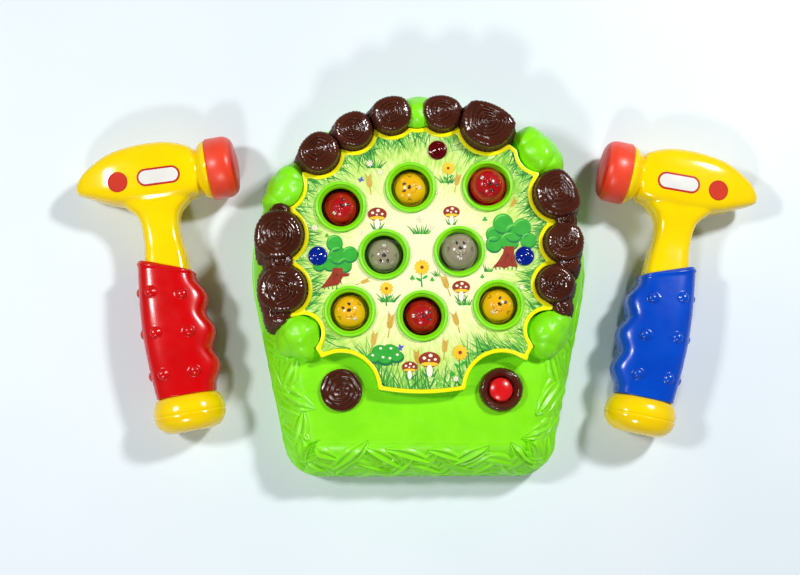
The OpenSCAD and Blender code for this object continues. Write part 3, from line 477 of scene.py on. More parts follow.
# %% Printed card
STREAK_STRETCH, STREAK_SHARE = (26, 90, 1), 0.55
CREAM_REACH, LIME_REACH = 0.03, 0.095
CARD_STOPS = ((0.0, (252, 250, 200)), (0.3, (240, 248, 170)), (0.6, (208, 236, 116)), (0.8, (164, 218, 84)),
              (1.0, (128, 196, 46)))
CLOUD_TONE = (250, 246, 190)
card, card_tree, card_shader = new_material("meadow_card")
card_at = add_node(card_tree, "TexCoord").outputs["Object"]
from_middle = math_of(card_tree, "VectorMath", "SUBTRACT", card_at, Vector((*FIELD_C, 0)) * MM)["Vector"]
level = math_of(card_tree, "VectorMath", "MULTIPLY", from_middle, (1, 1, 0))["Vector"]
reach = math_of(card_tree, "VectorMath", "LENGTH", level)["Value"]
parts = add_node(card_tree, "SeparateXYZ", Vector=from_middle).outputs
bearing = math_of(card_tree, "Math", "ARCTAN2", parts["Y"], parts["X"])["Value"]
polar_at = add_node(card_tree, "CombineXYZ", X=bearing, Y=reach).outputs["Vector"]
streak_at = math_of(card_tree, "VectorMath", "MULTIPLY", polar_at, STREAK_STRETCH)["Vector"]
streaks = spread(card_tree, noise_of(card_tree, streak_at, 1.6, 3.0), 0.25, 0.75, -0.5, 0.5)
distance = spread(card_tree, reach, CREAM_REACH, LIME_REACH)
uneven = math_of(card_tree, "Math", "MULTIPLY_ADD", streaks, STREAK_SHARE, distance)["Value"]
card_ramp = add_node(card_tree, "ValToRGB", Fac=uneven)
for place, _ in CARD_STOPS[1:-1]:
    card_ramp.color_ramp.elements.new(place)
for stop, (place, tone) in zip(card_ramp.color_ramp.elements, CARD_STOPS):
    stop.position = place
    stop.color = srgb(*tone)
clouds = spread(card_tree, noise_of(card_tree, card_at, 45.0, 3.0), 0.5, 0.75, 0.0, 0.45)
patchy = mix_colours(card_tree, clouds, card_ramp.outputs["Color"], srgb(*CLOUD_TONE))
grain = noise_of(card_tree, card_at, 2600.0)
card_bump = add_node(card_tree, "Bump", Strength=0.3, Distance=0.00001, Height=grain)
feed(card_tree, card_shader["Base Color"], patchy)
feed(card_tree, card_shader["Roughness"], spread(card_tree, grain, 0.2, 0.8, 0.36, 0.5))
feed(card_tree, card_shader["Normal"], card_bump.outputs["Normal"])
FINISH["panel_print"] = card
print("printed card:", len(CARD_STOPS), "tones from the middle to the edge")

# %% [markdown]
# ### Finishes on the engineering solids
# Pieces that keep their plain solid, such as the gears and screws inside, still get the same
# finishes: each node's slot is named in the record.

# %% Dress the solids
for part in frame["record"]["subparts"]:
    solid = frame["nodes"][part["node"]]
    for place in solid.material_slots:
        place.material = FINISH[part["material_slot"]]

# %% [markdown]
# ## The housing
# The green housing is two shells that meet at a ledge. The upper one has a wall that
# curves in to a flat deck. Its outline is a big round back, two straight sides and two
# round front corners, so it is worked out from those arcs, with a normal at every point: a smaller
# outline is then the same list moved in along its normals.

# %% Housing outline
CORNER_R, CORNER_X = 25.0, 66.5
FRONT_Y = BACK_Y - FRONT_REACH
CORNER_Y = FRONT_Y + CORNER_R
CORNER_AWAY = math.hypot(CORNER_X, CORNER_Y - BACK_Y)
SIDE_TURN = math.atan2(CORNER_Y - BACK_Y, CORNER_X) + math.acos((BODY_R - CORNER_R) / CORNER_AWAY)
SIDE_LEFT = math.pi - SIDE_TURN
DOWN = -math.pi / 2
CORNER_STEPS, SIDE_STEPS, BACK_STEPS, FRONT_STEPS = 20, 40, 160, 54


def arc_run(x, y, radius, start, end, steps):
    """Points along an arc, each with the direction that faces out."""
    turns = [start + (end - start) * i / steps for i in range(steps)]
    return [(*polar(x, y, radius, a), math.cos(a), math.sin(a)) for a in turns]


def line_run(start, end, turn, steps):
    """Points along a straight stretch, all facing out in the direction of one turn."""
    shares = [i / steps for i in range(steps)]
    return [(start[0] + (end[0] - start[0]) * t, start[1] + (end[1] - start[1]) * t,
             math.cos(turn), math.sin(turn)) for t in shares]


WALL = (
    arc_run(CORNER_X, CORNER_Y, CORNER_R, DOWN, SIDE_TURN, CORNER_STEPS)
    + line_run(polar(CORNER_X, CORNER_Y, CORNER_R, SIDE_TURN), polar(0, BACK_Y, BODY_R, SIDE_TURN),
               SIDE_TURN, SIDE_STEPS)
    + arc_run(0, BACK_Y, BODY_R, SIDE_TURN, SIDE_LEFT, BACK_STEPS)
    + line_run(polar(0, BACK_Y, BODY_R, SIDE_LEFT), polar(-CORNER_X, CORNER_Y, CORNER_R, SIDE_LEFT),
               SIDE_LEFT, SIDE_STEPS)
    + arc_run(-CORNER_X, CORNER_Y, CORNER_R, SIDE_LEFT, DOWN + math.tau, CORNER_STEPS)
    + line_run((-CORNER_X, FRONT_Y), (CORNER_X, FRONT_Y), DOWN, FRONT_STEPS))


def wall_ring(inset, z):
    """The outline drawn in by inset, at a height."""
    return [(x - nx * inset, y - ny * inset, z) for x, y, nx, ny in WALL]


print("outline points:", len(WALL))

# %% [markdown]
# The upper shell's wall is one skin: rings up the curved wall and a soft turn onto the deck. A
# subdivided box could be pushed into this shape, but rings keep the true outline and put the points
# where the wall bends. The deck follows once the playfield's edge is known.

# %% Upper shell
LEDGE, SHOULDER, WALL_CURVE = 1.5, 19.0, 2.2
TUCK_IN, TUCK_DOWN = 1.6, 0.4
WALL_STEPS, TURN_FROM, TURN_STEPS = 18, 0.84, 8
TURN_PULL, TURN_END = SHOULDER - 0.6, SHOULDER + 4.0


def shell_inset(t):
    """How far the wall stands in at a height t from the split line, 0, to the deck, 1."""
    return LEDGE + (SHOULDER - LEDGE) * t ** WALL_CURVE


def shell_z(t):
    """Height at a share t of the wall."""
    return SPLIT_Z + (DECK_Z - SPLIT_Z) * t


shell_rings = [wall_ring(LEDGE + TUCK_IN, SPLIT_Z - TUCK_DOWN)]
for k in range(WALL_STEPS + 1):
    t = TURN_FROM * k / WALL_STEPS
    shell_rings.append(wall_ring(shell_inset(t), shell_z(t)))
for k in range(1, TURN_STEPS + 1):
    t = k / TURN_STEPS
    inset = shell_inset(TURN_FROM) * (1 - t) ** 2 + 2 * TURN_PULL * t * (1 - t) + TURN_END * t * t
    shell_rings.append(wall_ring(inset, shell_z(TURN_FROM) * (1 - t) ** 2 + DECK_Z * (2 * t - t * t)))
print("housing shell rings:", len(shell_rings))

# %% [markdown]
# The lower shell shows as a low skirt with a rounded foot, a hair wider than the wall above it.

# %% Lower skirt
FOOT_H = 2.0
SKIRT_PROUD = 0.06
skirt_profile = ((2.3, FOOT_H + 0.2), (1.5, FOOT_H + 1.2), (0.6, FOOT_H + 3.0), (0.05, SPLIT_Z - 5.0),
                 (-0.05, SPLIT_Z - 0.6), (0.2, SPLIT_Z - 0.15), (0.7, SPLIT_Z + 0.02),
                 (LEDGE + 1.8, SPLIT_Z + 0.02))
make("base_skirt", [loft([wall_ring(inset - SKIRT_PROUD, z) for inset, z in skirt_profile])], "housing_green")
print("skirt rings:", len(skirt_profile))

# %% [markdown]
# ## The playfield
# The raised playfield is a round plate bitten into by the stumps and bushes, so its edge is
# scalloped. The bites are circles: one for each stump and bush, and a few more where the deck comes
# in. They are listed first, since the stumps, the bushes and the leaves all keep to them.

# %% Bites
# Stumps of each group: place, radius, height above or below the usual top
STUMPS = {
    "stumps_back_left": [(-59.6, 63.6, 13.2, 0), (-39.5, 76.8, 12.3, -1), (-17.1, 86.4, 12.7, 0)],
    "stumps_back_right": [(12.3, 87.7, 12.3, -1), (39, 81.1, 16.7, 3)],
    "stumps_right": [(79.8, 39.9, 15.4, 0), (82.5, 11.4, 12.3, 1), (77.2, -12.7, 11.8, -1)],
    "stumps_left": [(-82.5, 15.4, 15.4, 0), (-79.8, -15.8, 14.9, -1)],
}
BUSH_BAYS = [(-83.3, 45.2, 15.4), (68.9, 65.4, 12.7), (-68.4, -41.2, 11), (72.4, -39.5, 11.8),
             (-2.2, 90.8, 12.7)]
DECK_BAYS = [(-70.2, -59.2, 13.2), (74.1, -58.3, 13.6), (80.5, -27, 5)]
STUMP_ROUNDS = [(*spot(x, y), UNIT * r) for group in STUMPS.values() for x, y, r, _ in group]
DISC_X, DISC_Y = spot(46.1, -73.2)
LOBE_R = 24.0
BITES = STUMP_ROUNDS + [(*spot(x, y), UNIT * r) for x, y, r in BUSH_BAYS + DECK_BAYS]
BITES += [(side * DISC_X, DISC_Y, LOBE_R) for side in (-1, 1)]
print("bites:", len(BITES))

# %% [markdown]
# A boolean cut would take the bites out of the plate, but it leaves long thin faces along a rounded
# edge. Seen from the plate's middle every direction meets the edge once, so the edge is found by a
# ray: it stops at the nearest bite, or at the big circle, or at the flatter arc along the front.

# %% Playfield edge
FIELD_R = 86 * UNIT
FRONT_ARC = spot(0, 56.1)
FRONT_ARC_R = 131.6 * UNIT


def ray_meets(from_x, from_y, turn, x, y, radius):
    """Where a ray enters and leaves a circle, as distances from its start, or None if it misses."""
    mx, my = x - from_x, y - from_y
    along = mx * math.cos(turn) + my * math.sin(turn)
    under = along ** 2 - mx ** 2 - my ** 2 + radius ** 2
    if under < 0:
        return None
    return along - math.sqrt(under), along + math.sqrt(under)


def field_edge(turn, inset):
    """Distance from the playfield's middle to its edge."""
    best = min(ray_meets(*FIELD_C, turn, *FRONT_ARC, FRONT_ARC_R - inset)[1], FIELD_R - inset)
    for x, y, radius in BITES:
        bite = ray_meets(*FIELD_C, turn, x, y, radius + inset)
        if bite and sum(bite) > 0:
            best = min(best, bite[0])
    return best


EDGE_STEPS = 900
# Weights of a point and its neighbours, which ease the sharp tips a little
TIP_WEIGHTS = {-2: 1, -1: 2, 0: 3, 1: 2, 2: 1}


def field_ring(inset, z):
    """The scalloped edge as points."""
    turns = round_turns(EDGE_STEPS)
    away = [field_edge(a, inset) for a in turns]
    eased = [sum(w * away[(i + k) % EDGE_STEPS] for k, w in TIP_WEIGHTS.items()) / sum(TIP_WEIGHTS.values())
             for i in range(EDGE_STEPS)]
    return [(*polar(*FIELD_C, r, a), z) for r, a in zip(eased, turns)]


plate_profile = ((-1.3, DECK_Z - 0.2), (-0.6, DECK_Z + 0.35), (-0.15, DECK_Z + 1.2), (0, DECK_Z + 2.6),
                 (0, FIELD_Z - 0.7), (0.2, FIELD_Z - 0.15), (0.7, FIELD_Z - 0.02), (6, FIELD_Z - 0.02))
plate_rings = [field_ring(inset, z) for inset, z in plate_profile]
make("playfield_plate", [loft(plate_rings)], "housing_green", ["top_cover"])
print("playfield edge runs from", round(min(field_edge(a, 0) for a in round_turns(90)), 1), "to",
      round(FIELD_R, 1), "mm")

# %% [markdown]
# The deck is a flat sheet between the wall and the plate. It is open under the playfield, where
# the moles and lamps pass through it, and has a round hole for the start button.

# %% Deck
BUTTON_R = 7.6
BUTTON_HOLE_R, BUTTON_WELL = BUTTON_R + 1.2, 2.5
OPENING_INSET, OPENING_MOST, OPENING_STEPS = 4.0, 86.0, 240
opening = [polar(*FIELD_C, min(field_edge(a, OPENING_INSET), OPENING_MOST), a)
           for a in round_turns(OPENING_STEPS)]
deck = flat_sheet(shell_rings[-1], [opening, circle(DISC_X, DISC_Y, BUTTON_HOLE_R, 0, 48)], DECK_Z)
button_well = lathe(DISC_X, DISC_Y, [(BUTTON_HOLE_R, DECK_Z - BUTTON_WELL), (BUTTON_HOLE_R, DECK_Z)], 48)
make("housing_shell", [loft(shell_rings), deck, button_well], "housing_green", ["top_cover"])
print("deck faces:", len(deck[1]))

# %% [markdown]
# The yellow border is a thin frame on the plate's edge with a rounded top: a strip of
# rings between two insets of the same edge.

# %% Border
BORDER_W = 2.7
border_section = ((-0.05, 0.0), (-0.05, 0.6), (0.15, 1.0), (0.6, 1.18), (1.35, 1.22), (2.1, 1.16),
                  (2.5, 0.95), (BORDER_W, 0.6), (BORDER_W, 0.0))
border_rings = [field_ring(inset, FIELD_Z + height) for inset, height in border_section]
make("border_strip", [loft(border_rings)], "border_yellow", ["panel_border"])
print("border section points:", len(border_section))

# %% [markdown]
# Each mole comes up through a turned green rim: a full round ring, a fine groove, and a slope down
# into the dark hole. A turned profile gives the highlights that circle the ring.

# %% Mole rims
MOLES = [spot(*place) for place in ((-46.5, 32), (-6.1, 43.4), (38.6, 44.3), (-21.5, 4.4), (21.9, 6.1),
                                    (-41.2, -28.5), (0.4, -31.1), (44.3, -25))]
RIM_R, RIM_H, HOLE_R = 16.8, 3.5, 12.8
CREST_R, CREST_STEPS = 1.15, 12
rim_profile = [(RIM_R, -1.0), (RIM_R, 1.4)]
for k in range(CREST_STEPS + 1):
    rim_profile.append(polar(RIM_R - CREST_R, RIM_H - CREST_R, CREST_R, math.pi * k / CREST_STEPS))
rim_profile += [(RIM_R - 2.35, 2.05), (RIM_R - 2.55, 2.15), (RIM_R - 2.9, 1.9), (HOLE_R + 0.5, 0.75),
                (HOLE_R + 0.15, 0.3), (HOLE_R, -0.3), (HOLE_R, -2.4), (HOLE_R + 1.7, -2.5),
                (HOLE_R + 1.7, -14.0)]
rims = [lathe(x, y, [(r, FIELD_Z + z) for r, z in rim_profile]) for x, y in MOLES]
make("mole_rims", rims, "housing_green", ["top_cover"])
print("rims:", len(rims))

# %% [markdown]
# ## Leaves on the wall
# Round the front and the sides the wall carries a relief of big overlapping leaves. A displacement
# map could fake them, but real leaf meshes also shape the lower edge of the toy.
# Each leaf is a small grid that is bent over the wall: one direction runs along the
# outline, the other down the curved wall, and a third lifts it off the surface.

# %% Wall coordinates
def running_length(points):
    """Length from the first point to each point of a line."""
    run = [0.0]
    for start, end in zip(points, points[1:]):
        run.append(run[-1] + math.dist(start[:2], end[:2]))
    return run


PROFILE_STEPS = 60
wall_run = running_length(WALL + WALL[:1])
wall_shares = [1 - k / PROFILE_STEPS for k in range(PROFILE_STEPS + 1)]
wall_profile = [(shell_inset(t), shell_z(t)) for t in wall_shares]
profile_run = running_length(wall_profile)


def on_wall(along, down, lift):
    """Point on the wall: millimetres along the outline, down from the deck edge, and off the surface."""
    along = along % wall_run[-1]
    i = min(bisect.bisect_right(wall_run, along) - 1, len(WALL) - 1)
    share = (along - wall_run[i]) / (wall_run[i + 1] - wall_run[i])
    x, y, nx, ny = (a + (b - a) * share for a, b in zip(WALL[i], WALL[(i + 1) % len(WALL)]))
    deck_run = min(max(down, 0.0), profile_run[-1] - 1e-6)
    j = min(bisect.bisect_right(profile_run, deck_run) - 1, PROFILE_STEPS - 1)
    step = (deck_run - profile_run[j]) / (profile_run[j + 1] - profile_run[j])
    (i0, z0), (i1, z1) = wall_profile[j], wall_profile[j + 1]
    length = math.hypot(i1 - i0, z1 - z0)
    out, up = (z0 - z1) / length, (i0 - i1) / length
    # Above the deck's edge a leaf goes straight on inwards
    inset = i0 + (i1 - i0) * step - min(down, 0.0) - out * lift
    return x - nx * inset, y - ny * inset, z0 + (z1 - z0) * step + up * lift


print("wall:", round(wall_run[-1]), "mm round,", round(profile_run[-1], 1), "mm deep")

# %% Leaf shape
LEAF_ACROSS, LEAF_ALONG = 14, 12
LEAF_SINK, LEAF_HOLD = 0.4, 0.45


def leaf_on_wall(along, down, length, width, turn, height, veins):
    """A pointed leaf with long veins, its tip turned from straight down by turn."""
    rings = []
    for j in range(LEAF_ALONG + 1):
        v = j / LEAF_ALONG
        half = width / 2 * math.sin(math.pi * min(max(v, 0.015), 0.985)) ** 0.7 * (1.1 - 0.25 * v)
        row = []
        for i in range(LEAF_ACROSS + 1):
            u = 2 * i / LEAF_ACROSS - 1
            swell = (1 - u * u) ** 0.5 * (0.35 + 0.65 * math.sin(math.pi * v) ** 0.6)
            lift = height * swell * (0.8 + veins * math.cos(2.5 * math.pi * u)) - LEAF_SINK
            lower, across = turned((v - LEAF_HOLD) * length, u * half, turn)
            row.append(on_wall(along + across, down + lower, lift))
        rings.append(row)
    return loft(rings[::-1], closed=False)


print("points in a leaf:", (LEAF_ALONG + 1) * (LEAF_ACROSS + 1))

# %% [markdown]
# Two rows of broad leaves stand where the solid has them. Four rows of narrower ones fill the wall
# round them, and the highest of these laps over the edge of the deck. A fixed seed varies the
# leaves' sizes and turns, and gives the same wall each time.

# %% Leaf relief
LEAF_STEP, LEAF_REACH, LEAF_HEIGHT = 14.5, 11, 2.4
# Rows of broad leaves: share of the wall's height
BROAD_ROWS = (0.4, 0.74)
BROAD_VEINS, FILL_VEINS = 0.24, 0.3
# Rows that fill the wall: distance down from the deck, shift along the wall, growth
FILL_ROWS = ((31.0, 7.0, 1.0), (25.0, 3.0, 1.15), (16.5, 10.0, 1.3), (6.0, 2.0, 1.4))
STUMP_ROOM = 9.5


def clear_of_stumps(x, y):
    """Whether a leaf has room beside the stumps."""
    return all(math.hypot(x - sx, y - sy) > sr + STUMP_ROOM for sx, sy, sr in STUMP_ROUNDS)


draw = random.Random(11)
leaves = []
for row, share in enumerate(BROAD_ROWS):
    down = profile_run[round((1 - share) * PROFILE_STEPS)]
    for k in range(-LEAF_REACH, LEAF_REACH + 1 - row):
        along = (k + row / 2) * LEAF_STEP - CORNER_X
        way = 1 if (abs(k) + row) % 2 == 0 else -1
        turn = way * math.radians(40 + 8 * (abs(k) % 4)) + draw.uniform(-0.2, 0.2)
        size = draw.uniform(26, 29), draw.uniform(14.5, 17.5)
        along += draw.uniform(-1.5, 1.5)
        leaves.append(leaf_on_wall(along, down, *size, turn, LEAF_HEIGHT, BROAD_VEINS))
for down, shift, grow in FILL_ROWS:
    for k in range(int(wall_run[-1] / (grow * LEAF_STEP))):
        along = k * grow * LEAF_STEP + shift + draw.uniform(-2.5, 2.5)
        drop = down + draw.uniform(-2, 2)
        turn = draw.choice((-1, 1)) * draw.uniform(0.5, 1.3)
        size = grow * draw.uniform(18, 25), grow * draw.uniform(8.5, 11.5)
        x, y, _ = on_wall(along, drop, 0)
        if clear_of_stumps(x, y):
            height = grow ** 2 * draw.uniform(1.4, 1.9)
            leaves.append(leaf_on_wall(along, drop, *size, turn, height, FILL_VEINS))
make("leaf_relief", leaves, "housing_green", ["top_cover"], sharp=60)
print("leaves:", len(leaves))

# %% [markdown]
# ## Bushes
# Five chunky bushes stand between the stumps. Each is a swelling of four balls with broad soft
# facets, pressed together from rounded leaves with creases between them. Metaballs would melt the
# balls together, but a surface worked out by rays from the bush's middle stays light: a ray ends
# softly at the nearest facet or ball, and then rises or sinks with the leaf that it meets.

# %% Bush surface
FACETS, FACET_BLEND = 18, 3.0
LEAF_RISE, LEAF_LEVEL, LEAF_WIDTH = 2.6, 0.8, 3.9
GOLDEN_TURN = 2.39996


def spiral_ways(pick, count, low, rise, sway):
    """Directions spread evenly on a spiral from low up, each swayed a little."""
    for k in range(count):
        up = low + rise * (k + 0.5) / count
        turn = k * GOLDEN_TURN + pick.uniform(-sway, sway)
        yield Vector((*polar(0, 0, math.sqrt(1 - up * up), turn), up))


def facets(balls, seed):
    """Planes that trim the swelling: a direction each, and the distance along it."""
    pick = random.Random(seed)
    planes = []
    for way in spiral_ways(pick, FACETS, 0.05, 0.93, 0.3):
        reach = max(centre.dot(way) + radius for centre, radius in balls)
        planes.append((way, reach * pick.uniform(0.88, 1.0)))
    return planes


def bush_reach(d, balls, planes, ways):
    """Distance from a bush's middle to its surface in the direction d."""
    away = 0.0
    for centre, radius in balls:
        under = centre.dot(d) ** 2 - centre.length_squared + radius ** 2
        if under > 0:
            away = max(away, centre.dot(d) + math.sqrt(under))
    for way, reach in planes:
        if d.dot(way) > 0.2:
            away = soft_least(away, reach / d.dot(way), FACET_BLEND)
    nearness = max(d.dot(way) for way in ways)
    apart = math.acos(min(nearness, 1.0)) * math.sqrt(len(ways)) / LEAF_WIDTH
    return away + LEAF_RISE * (math.sqrt(max(1 - apart * apart, 0.0)) - LEAF_LEVEL)


print("facets of a bush:", FACETS)

# %% Bushes
# Each bush: place, stretch along the playfield's edge, reach away from it, leaves
BUSHES = ((-77.2, 41.2, 1.25, 4.0, 15), (68.6, 64.2, 1.25, 4.0, 15), (-68.9, -40.8, 1.0, 9.0, 24),
          (72.8, -39.5, 1.0, 5.0, 24), (-2.2, 86.4, 0.75, 4.0, 12))
BUSH_R, BUSH_LIFT, SIDE_BALL, SIDE_STEP = 13.0, 3.0, 0.85, 0.62
BUSH_AROUND, BUSH_UP = 112, 46
BUSH_FROM, BUSH_SWEEP = -25, 114.5
BUSH_GAP, BUSH_CLIMB = 0.4, 3.0
BUSH_SEED = 40


def bush(x, y, stretch, outreach, count, seed):
    """A bush on the deck, kept outside the playfield's edge where it climbs past the plate."""
    turn = math.atan2(y - FIELD_C[1], x)
    outward = Vector((*polar(0, 0, 1, turn), 0))
    step = Vector((-outward.y, outward.x, 0)) * BUSH_R * SIDE_STEP * stretch
    lift = Vector((0, 0, 2))
    balls = [(lift, BUSH_R + 0.3), (outward * outreach - lift, BUSH_R * SIDE_BALL)]
    balls += [(outward * 2 + step * side, BUSH_R * SIDE_BALL) for side in (-1, 1)]
    planes = facets(balls, seed)
    ways = list(spiral_ways(random.Random(seed + 200), count, -0.15, 1.13, 0.35))
    rings = []
    for j in range(BUSH_UP + 1):
        rise = math.radians(BUSH_FROM + BUSH_SWEEP * j / BUSH_UP)
        ring = []
        for a in round_turns(BUSH_AROUND):
            d = Vector((*polar(0, 0, math.cos(rise), a), math.sin(rise)))
            p = Vector((x, y, DECK_Z + BUSH_LIFT)) + d * bush_reach(d, balls, planes, ways)
            facing = math.atan2(p.y - FIELD_C[1], p.x - FIELD_C[0])
            edge = field_edge(facing, -BUSH_GAP)
            if math.dist(p.xy, FIELD_C) < edge and p.z > FIELD_Z - BUSH_CLIMB:
                p.xy = polar(*FIELD_C, edge, facing)
            ring.append(p)
        rings.append(ring)
    return loft(rings, cap_last=True)


bush_meshes = [bush(*spot(x, y), *shape, BUSH_SEED + k) for k, (x, y, *shape) in enumerate(BUSHES)]
make("bushes", bush_meshes, "housing_green", ["top_cover"], sharp=70)
print("bushes:", len(bush_meshes))

# %% [markdown]
# ## Tree stumps
# The brown stumps are glossy moulded caps. Their tops are carved with growth rings
# that wander and split, and bark runs down their sides in fine flutes. Rings of points from the
# pith outward carry the carving as real height; the same rings then turn over the
# edge and go down the bark. Towards the outer face of the housing a stump is flattened softly.

# %% Stump helpers
RING_PITCH, CARVE_DEPTH = 3.5, 1.1
STUMP_AROUND = 150


def room_to_wall(x, y, turn, inset):
    """Distance from a point to the housing's outline, drawn in by inset, along a direction."""
    _, away = ray_meets(x, y, turn, 0, BACK_Y, BODY_R - inset)
    hit_x, hit_y = polar(x, y, away, turn)
    facing = math.atan2(hit_y - BACK_Y, hit_x)
    side = SIDE_TURN if x > 0 else SIDE_LEFT
    past_right = x > 0 and facing < SIDE_TURN
    past_left = x < 0 and SIDE_LEFT - math.tau < facing < 0
    lean = math.cos(side - turn)
    if (past_right or past_left) and lean > 1e-6:
        away = (BODY_R - inset - (math.cos(side) * x + math.sin(side) * (y - BACK_Y))) / lean
    return away


def ring_carving(x, y, away, turn, seed):
    """Height of the carved growth rings, which wind outward, below the top."""
    wander = 0.7 * rough(x / 11, y / 11, seed) + 0.14 * rough(x / 4, y / 4, seed + 7)
    ridge = 0.5 + 0.5 * math.cos(math.tau * (away / RING_PITCH + wander) + turn)
    return CARVE_DEPTH * (ridge ** 0.7 - 1) * (0.85 + 0.4 * rough(x / 5, y / 5, seed + 3))


def rough_round(scale, turn, z):
    """Noise round a circle, which closes on itself."""
    return rough(*polar(0, 0, scale, turn), z)


print("room behind the first stump:", round(room_to_wall(*STUMP_ROUNDS[0][:2], math.pi * 0.75, 0), 1), "mm")

# %% [markdown]
# One stump is three runs of rings: the fluted bark from the split line up, the rolled edge of the
# top, and the carved top in to its pith. The bark is duller than the polished top, so the two
# are separate meshes, each with its own finish.

# %% Stump shape
STUMP_H, STUMP_FLARE, STUMP_LEAN, STUMP_BULGE = 11.0, 0.21, 2.0, 4.0
# Rolled edge of the top: step out from the rim, drop from the top
STUMP_ROLL = ((0.5, 5.0), (0.45, 3.9), (0.1, 2.9), (-0.6, 2.1), (-1.5, 1.55), (-2.4, 1.25))
BARK_STEPS, BARK_FOOT, BARK_DROP = 17, 0.2, 6.2
TOP_STEP, TOP_INSET, TOP_MOST = 0.4, 3.0, 0.5
ENVELOPE_TOP = FIELD_Z + STUMP_H + 10
SOFT_CORNER = 9.0


def stump(x, y, radius, extra, seed):
    """The fluted bark and the carved top of one stump."""
    top = FIELD_Z + STUMP_H + extra
    rim = radius - STUMP_FLARE * STUMP_H
    turns = round_turns(STUMP_AROUND)
    wobble = [1 + 0.05 * rough_round(1.1, a, seed) + 0.025 * rough_round(3, a, seed + 5) for a in turns]
    flute = [abs(math.sin(17 * a + 1.6 * rough_round(2, a, seed + 2))) + 0.5 * abs(math.sin(41 * a + seed))
             for a in turns]
    pith_x, pith_y = 0.25 * rim * rough(seed, 0, 0), 0.25 * rim * rough(0, seed, 0)

    def limited(away, a, z):
        """The distance cut short, softly, where it would pass the housing's outer face."""
        up = (z - SPLIT_Z) / (ENVELOPE_TOP - SPLIT_Z)
        wall = room_to_wall(x, y, a, LEDGE + STUMP_LEAN * up - STUMP_BULGE * up * up)
        return soft_least(away, wall, SOFT_CORNER)

    bark, rings = [], []
    for k in range(BARK_STEPS + 1):
        z = SPLIT_Z + BARK_FOOT + (top - BARK_DROP - SPLIT_Z) * k / BARK_STEPS
        ring = []
        for a, w, f in zip(turns, wobble, flute):
            away = limited((radius + STUMP_FLARE * (FIELD_Z - z)) * (0.5 + 0.5 * w), a, z) + 0.6 * f - 0.8
            away += 0.3 * rough_round(5, a, z / 4 + seed)
            ring.append((*polar(x, y, away, a), z))
        bark.append(ring)
    for out, drop in STUMP_ROLL:
        z = top - drop
        rings.append([(*polar(x, y, limited(rim * w, a, z) + out + 0.4 * f, a), z)
                      for a, w, f in zip(turns, wobble, flute)])
    steps = int(rim / TOP_STEP)
    for k in range(steps, 0, -1):
        ring = []
        share = k / steps
        for a, w in zip(turns, wobble):
            full = limited(rim * w, a, top) - TOP_INSET
            px, py = polar(x + pith_x * (1 - share), y + pith_y * (1 - share), full * share, a)
            crown = 0.4 - 1.3 * share ** 2 + 0.4 * rough(px / 6, py / 6, seed + 11)
            z = top + crown + ring_carving(px, py, share * rim, a, seed) * smooth_step(1.05, 0.85, share)
            ring.append((px, py, min(z, top + TOP_MOST)))
        rings.append(ring)
    return loft(bark + rings[:1]), loft(rings, cap_last=True)


print("usual top of a stump:", FIELD_Z + STUMP_H, "mm")

# %% Stumps
# Low knots of root that join the stumps on each side
ROOTS = {
    "stumps_left": [(-81, 0, 8.5, -5), (-82, -29.5, 8.5, -6), (-81, 29, 7, -5)],
    "stumps_right": [(83.5, 25, 7.5, -5), (85, -0.5, 7.5, -5), (81, -26, 6.5, -6)],
}
seed, SEED_STEP = 1.7, 3.1
for node, rows in STUMPS.items():
    sides, tops = [], []
    for px, py, r, extra in rows + ROOTS.get(node, []):
        side, top = stump(*spot(px, py), UNIT * r, extra, seed)
        sides.append(side)
        tops.append(top)
        seed += SEED_STEP
    make(node + "_bark", sides, "stump_brown", [node], finish=FINISH["stump_bark"], sharp=75)
    make(node + "_carved", tops, "stump_brown", [node], sharp=75)
print("stumps:", sum(len(rows) for rows in STUMPS.values()))

# %% [markdown]
# ## Front discs
# On the deck stand two brown discs: on the left a cut log as an ornament, on the right a raised
# log ring that holds the red start button. The log takes the same carving as the stumps.

# %% Log ornament
ORNAMENT_R, ORNAMENT_H, ORNAMENT_SEED = 14.0, 3.5, 50.3
ORNAMENT_STEP, ORNAMENT_INSET = 0.42, 0.8
# Side of the log: step out from its radius, drop from its top
ORNAMENT_SIDE = ((0.3, ORNAMENT_H), (0.25, 1.5), (-0.1, 0.7), (-0.6, 0.25))


def log_disc(x, y, radius, top, seed):
    """A low cut log with a carved top."""
    turns = round_turns(STUMP_AROUND)
    wobble = [1 + 0.03 * rough_round(1.3, a, seed) + 0.015 * abs(math.sin(17 * a + seed)) - 0.03
              for a in turns]
    rings = []
    for out, drop in ORNAMENT_SIDE:
        rings.append([(*polar(x, y, radius * w + out, a), top - drop) for a, w in zip(turns, wobble)])
    steps = int(radius / ORNAMENT_STEP)
    for k in range(steps, 0, -1):
        share = k / steps
        ring = []
        for a, w in zip(turns, wobble):
            away = (radius * w - ORNAMENT_INSET) * share
            px, py = polar(x, y, away, a)
            carve = ring_carving(px, py, away, a, seed) * smooth_step(1.1, 0.9, share)
            ring.append((px, py, top + 0.1 - 0.3 * share + carve))
        rings.append(ring)
    return loft(rings, cap_last=True)


ornament = log_disc(-DISC_X, DISC_Y, ORNAMENT_R, DECK_Z + ORNAMENT_H, ORNAMENT_SEED)
make("log_ornament", [ornament], "stump_brown", ["stump_ornament"], sharp=75)
print("log ornament faces:", len(ornament[1]))

# %% [markdown]
# The button's ring is a turned profile that is then roughened like bark on its outside and its
# crest. Its inside stays smooth, where the button slides.

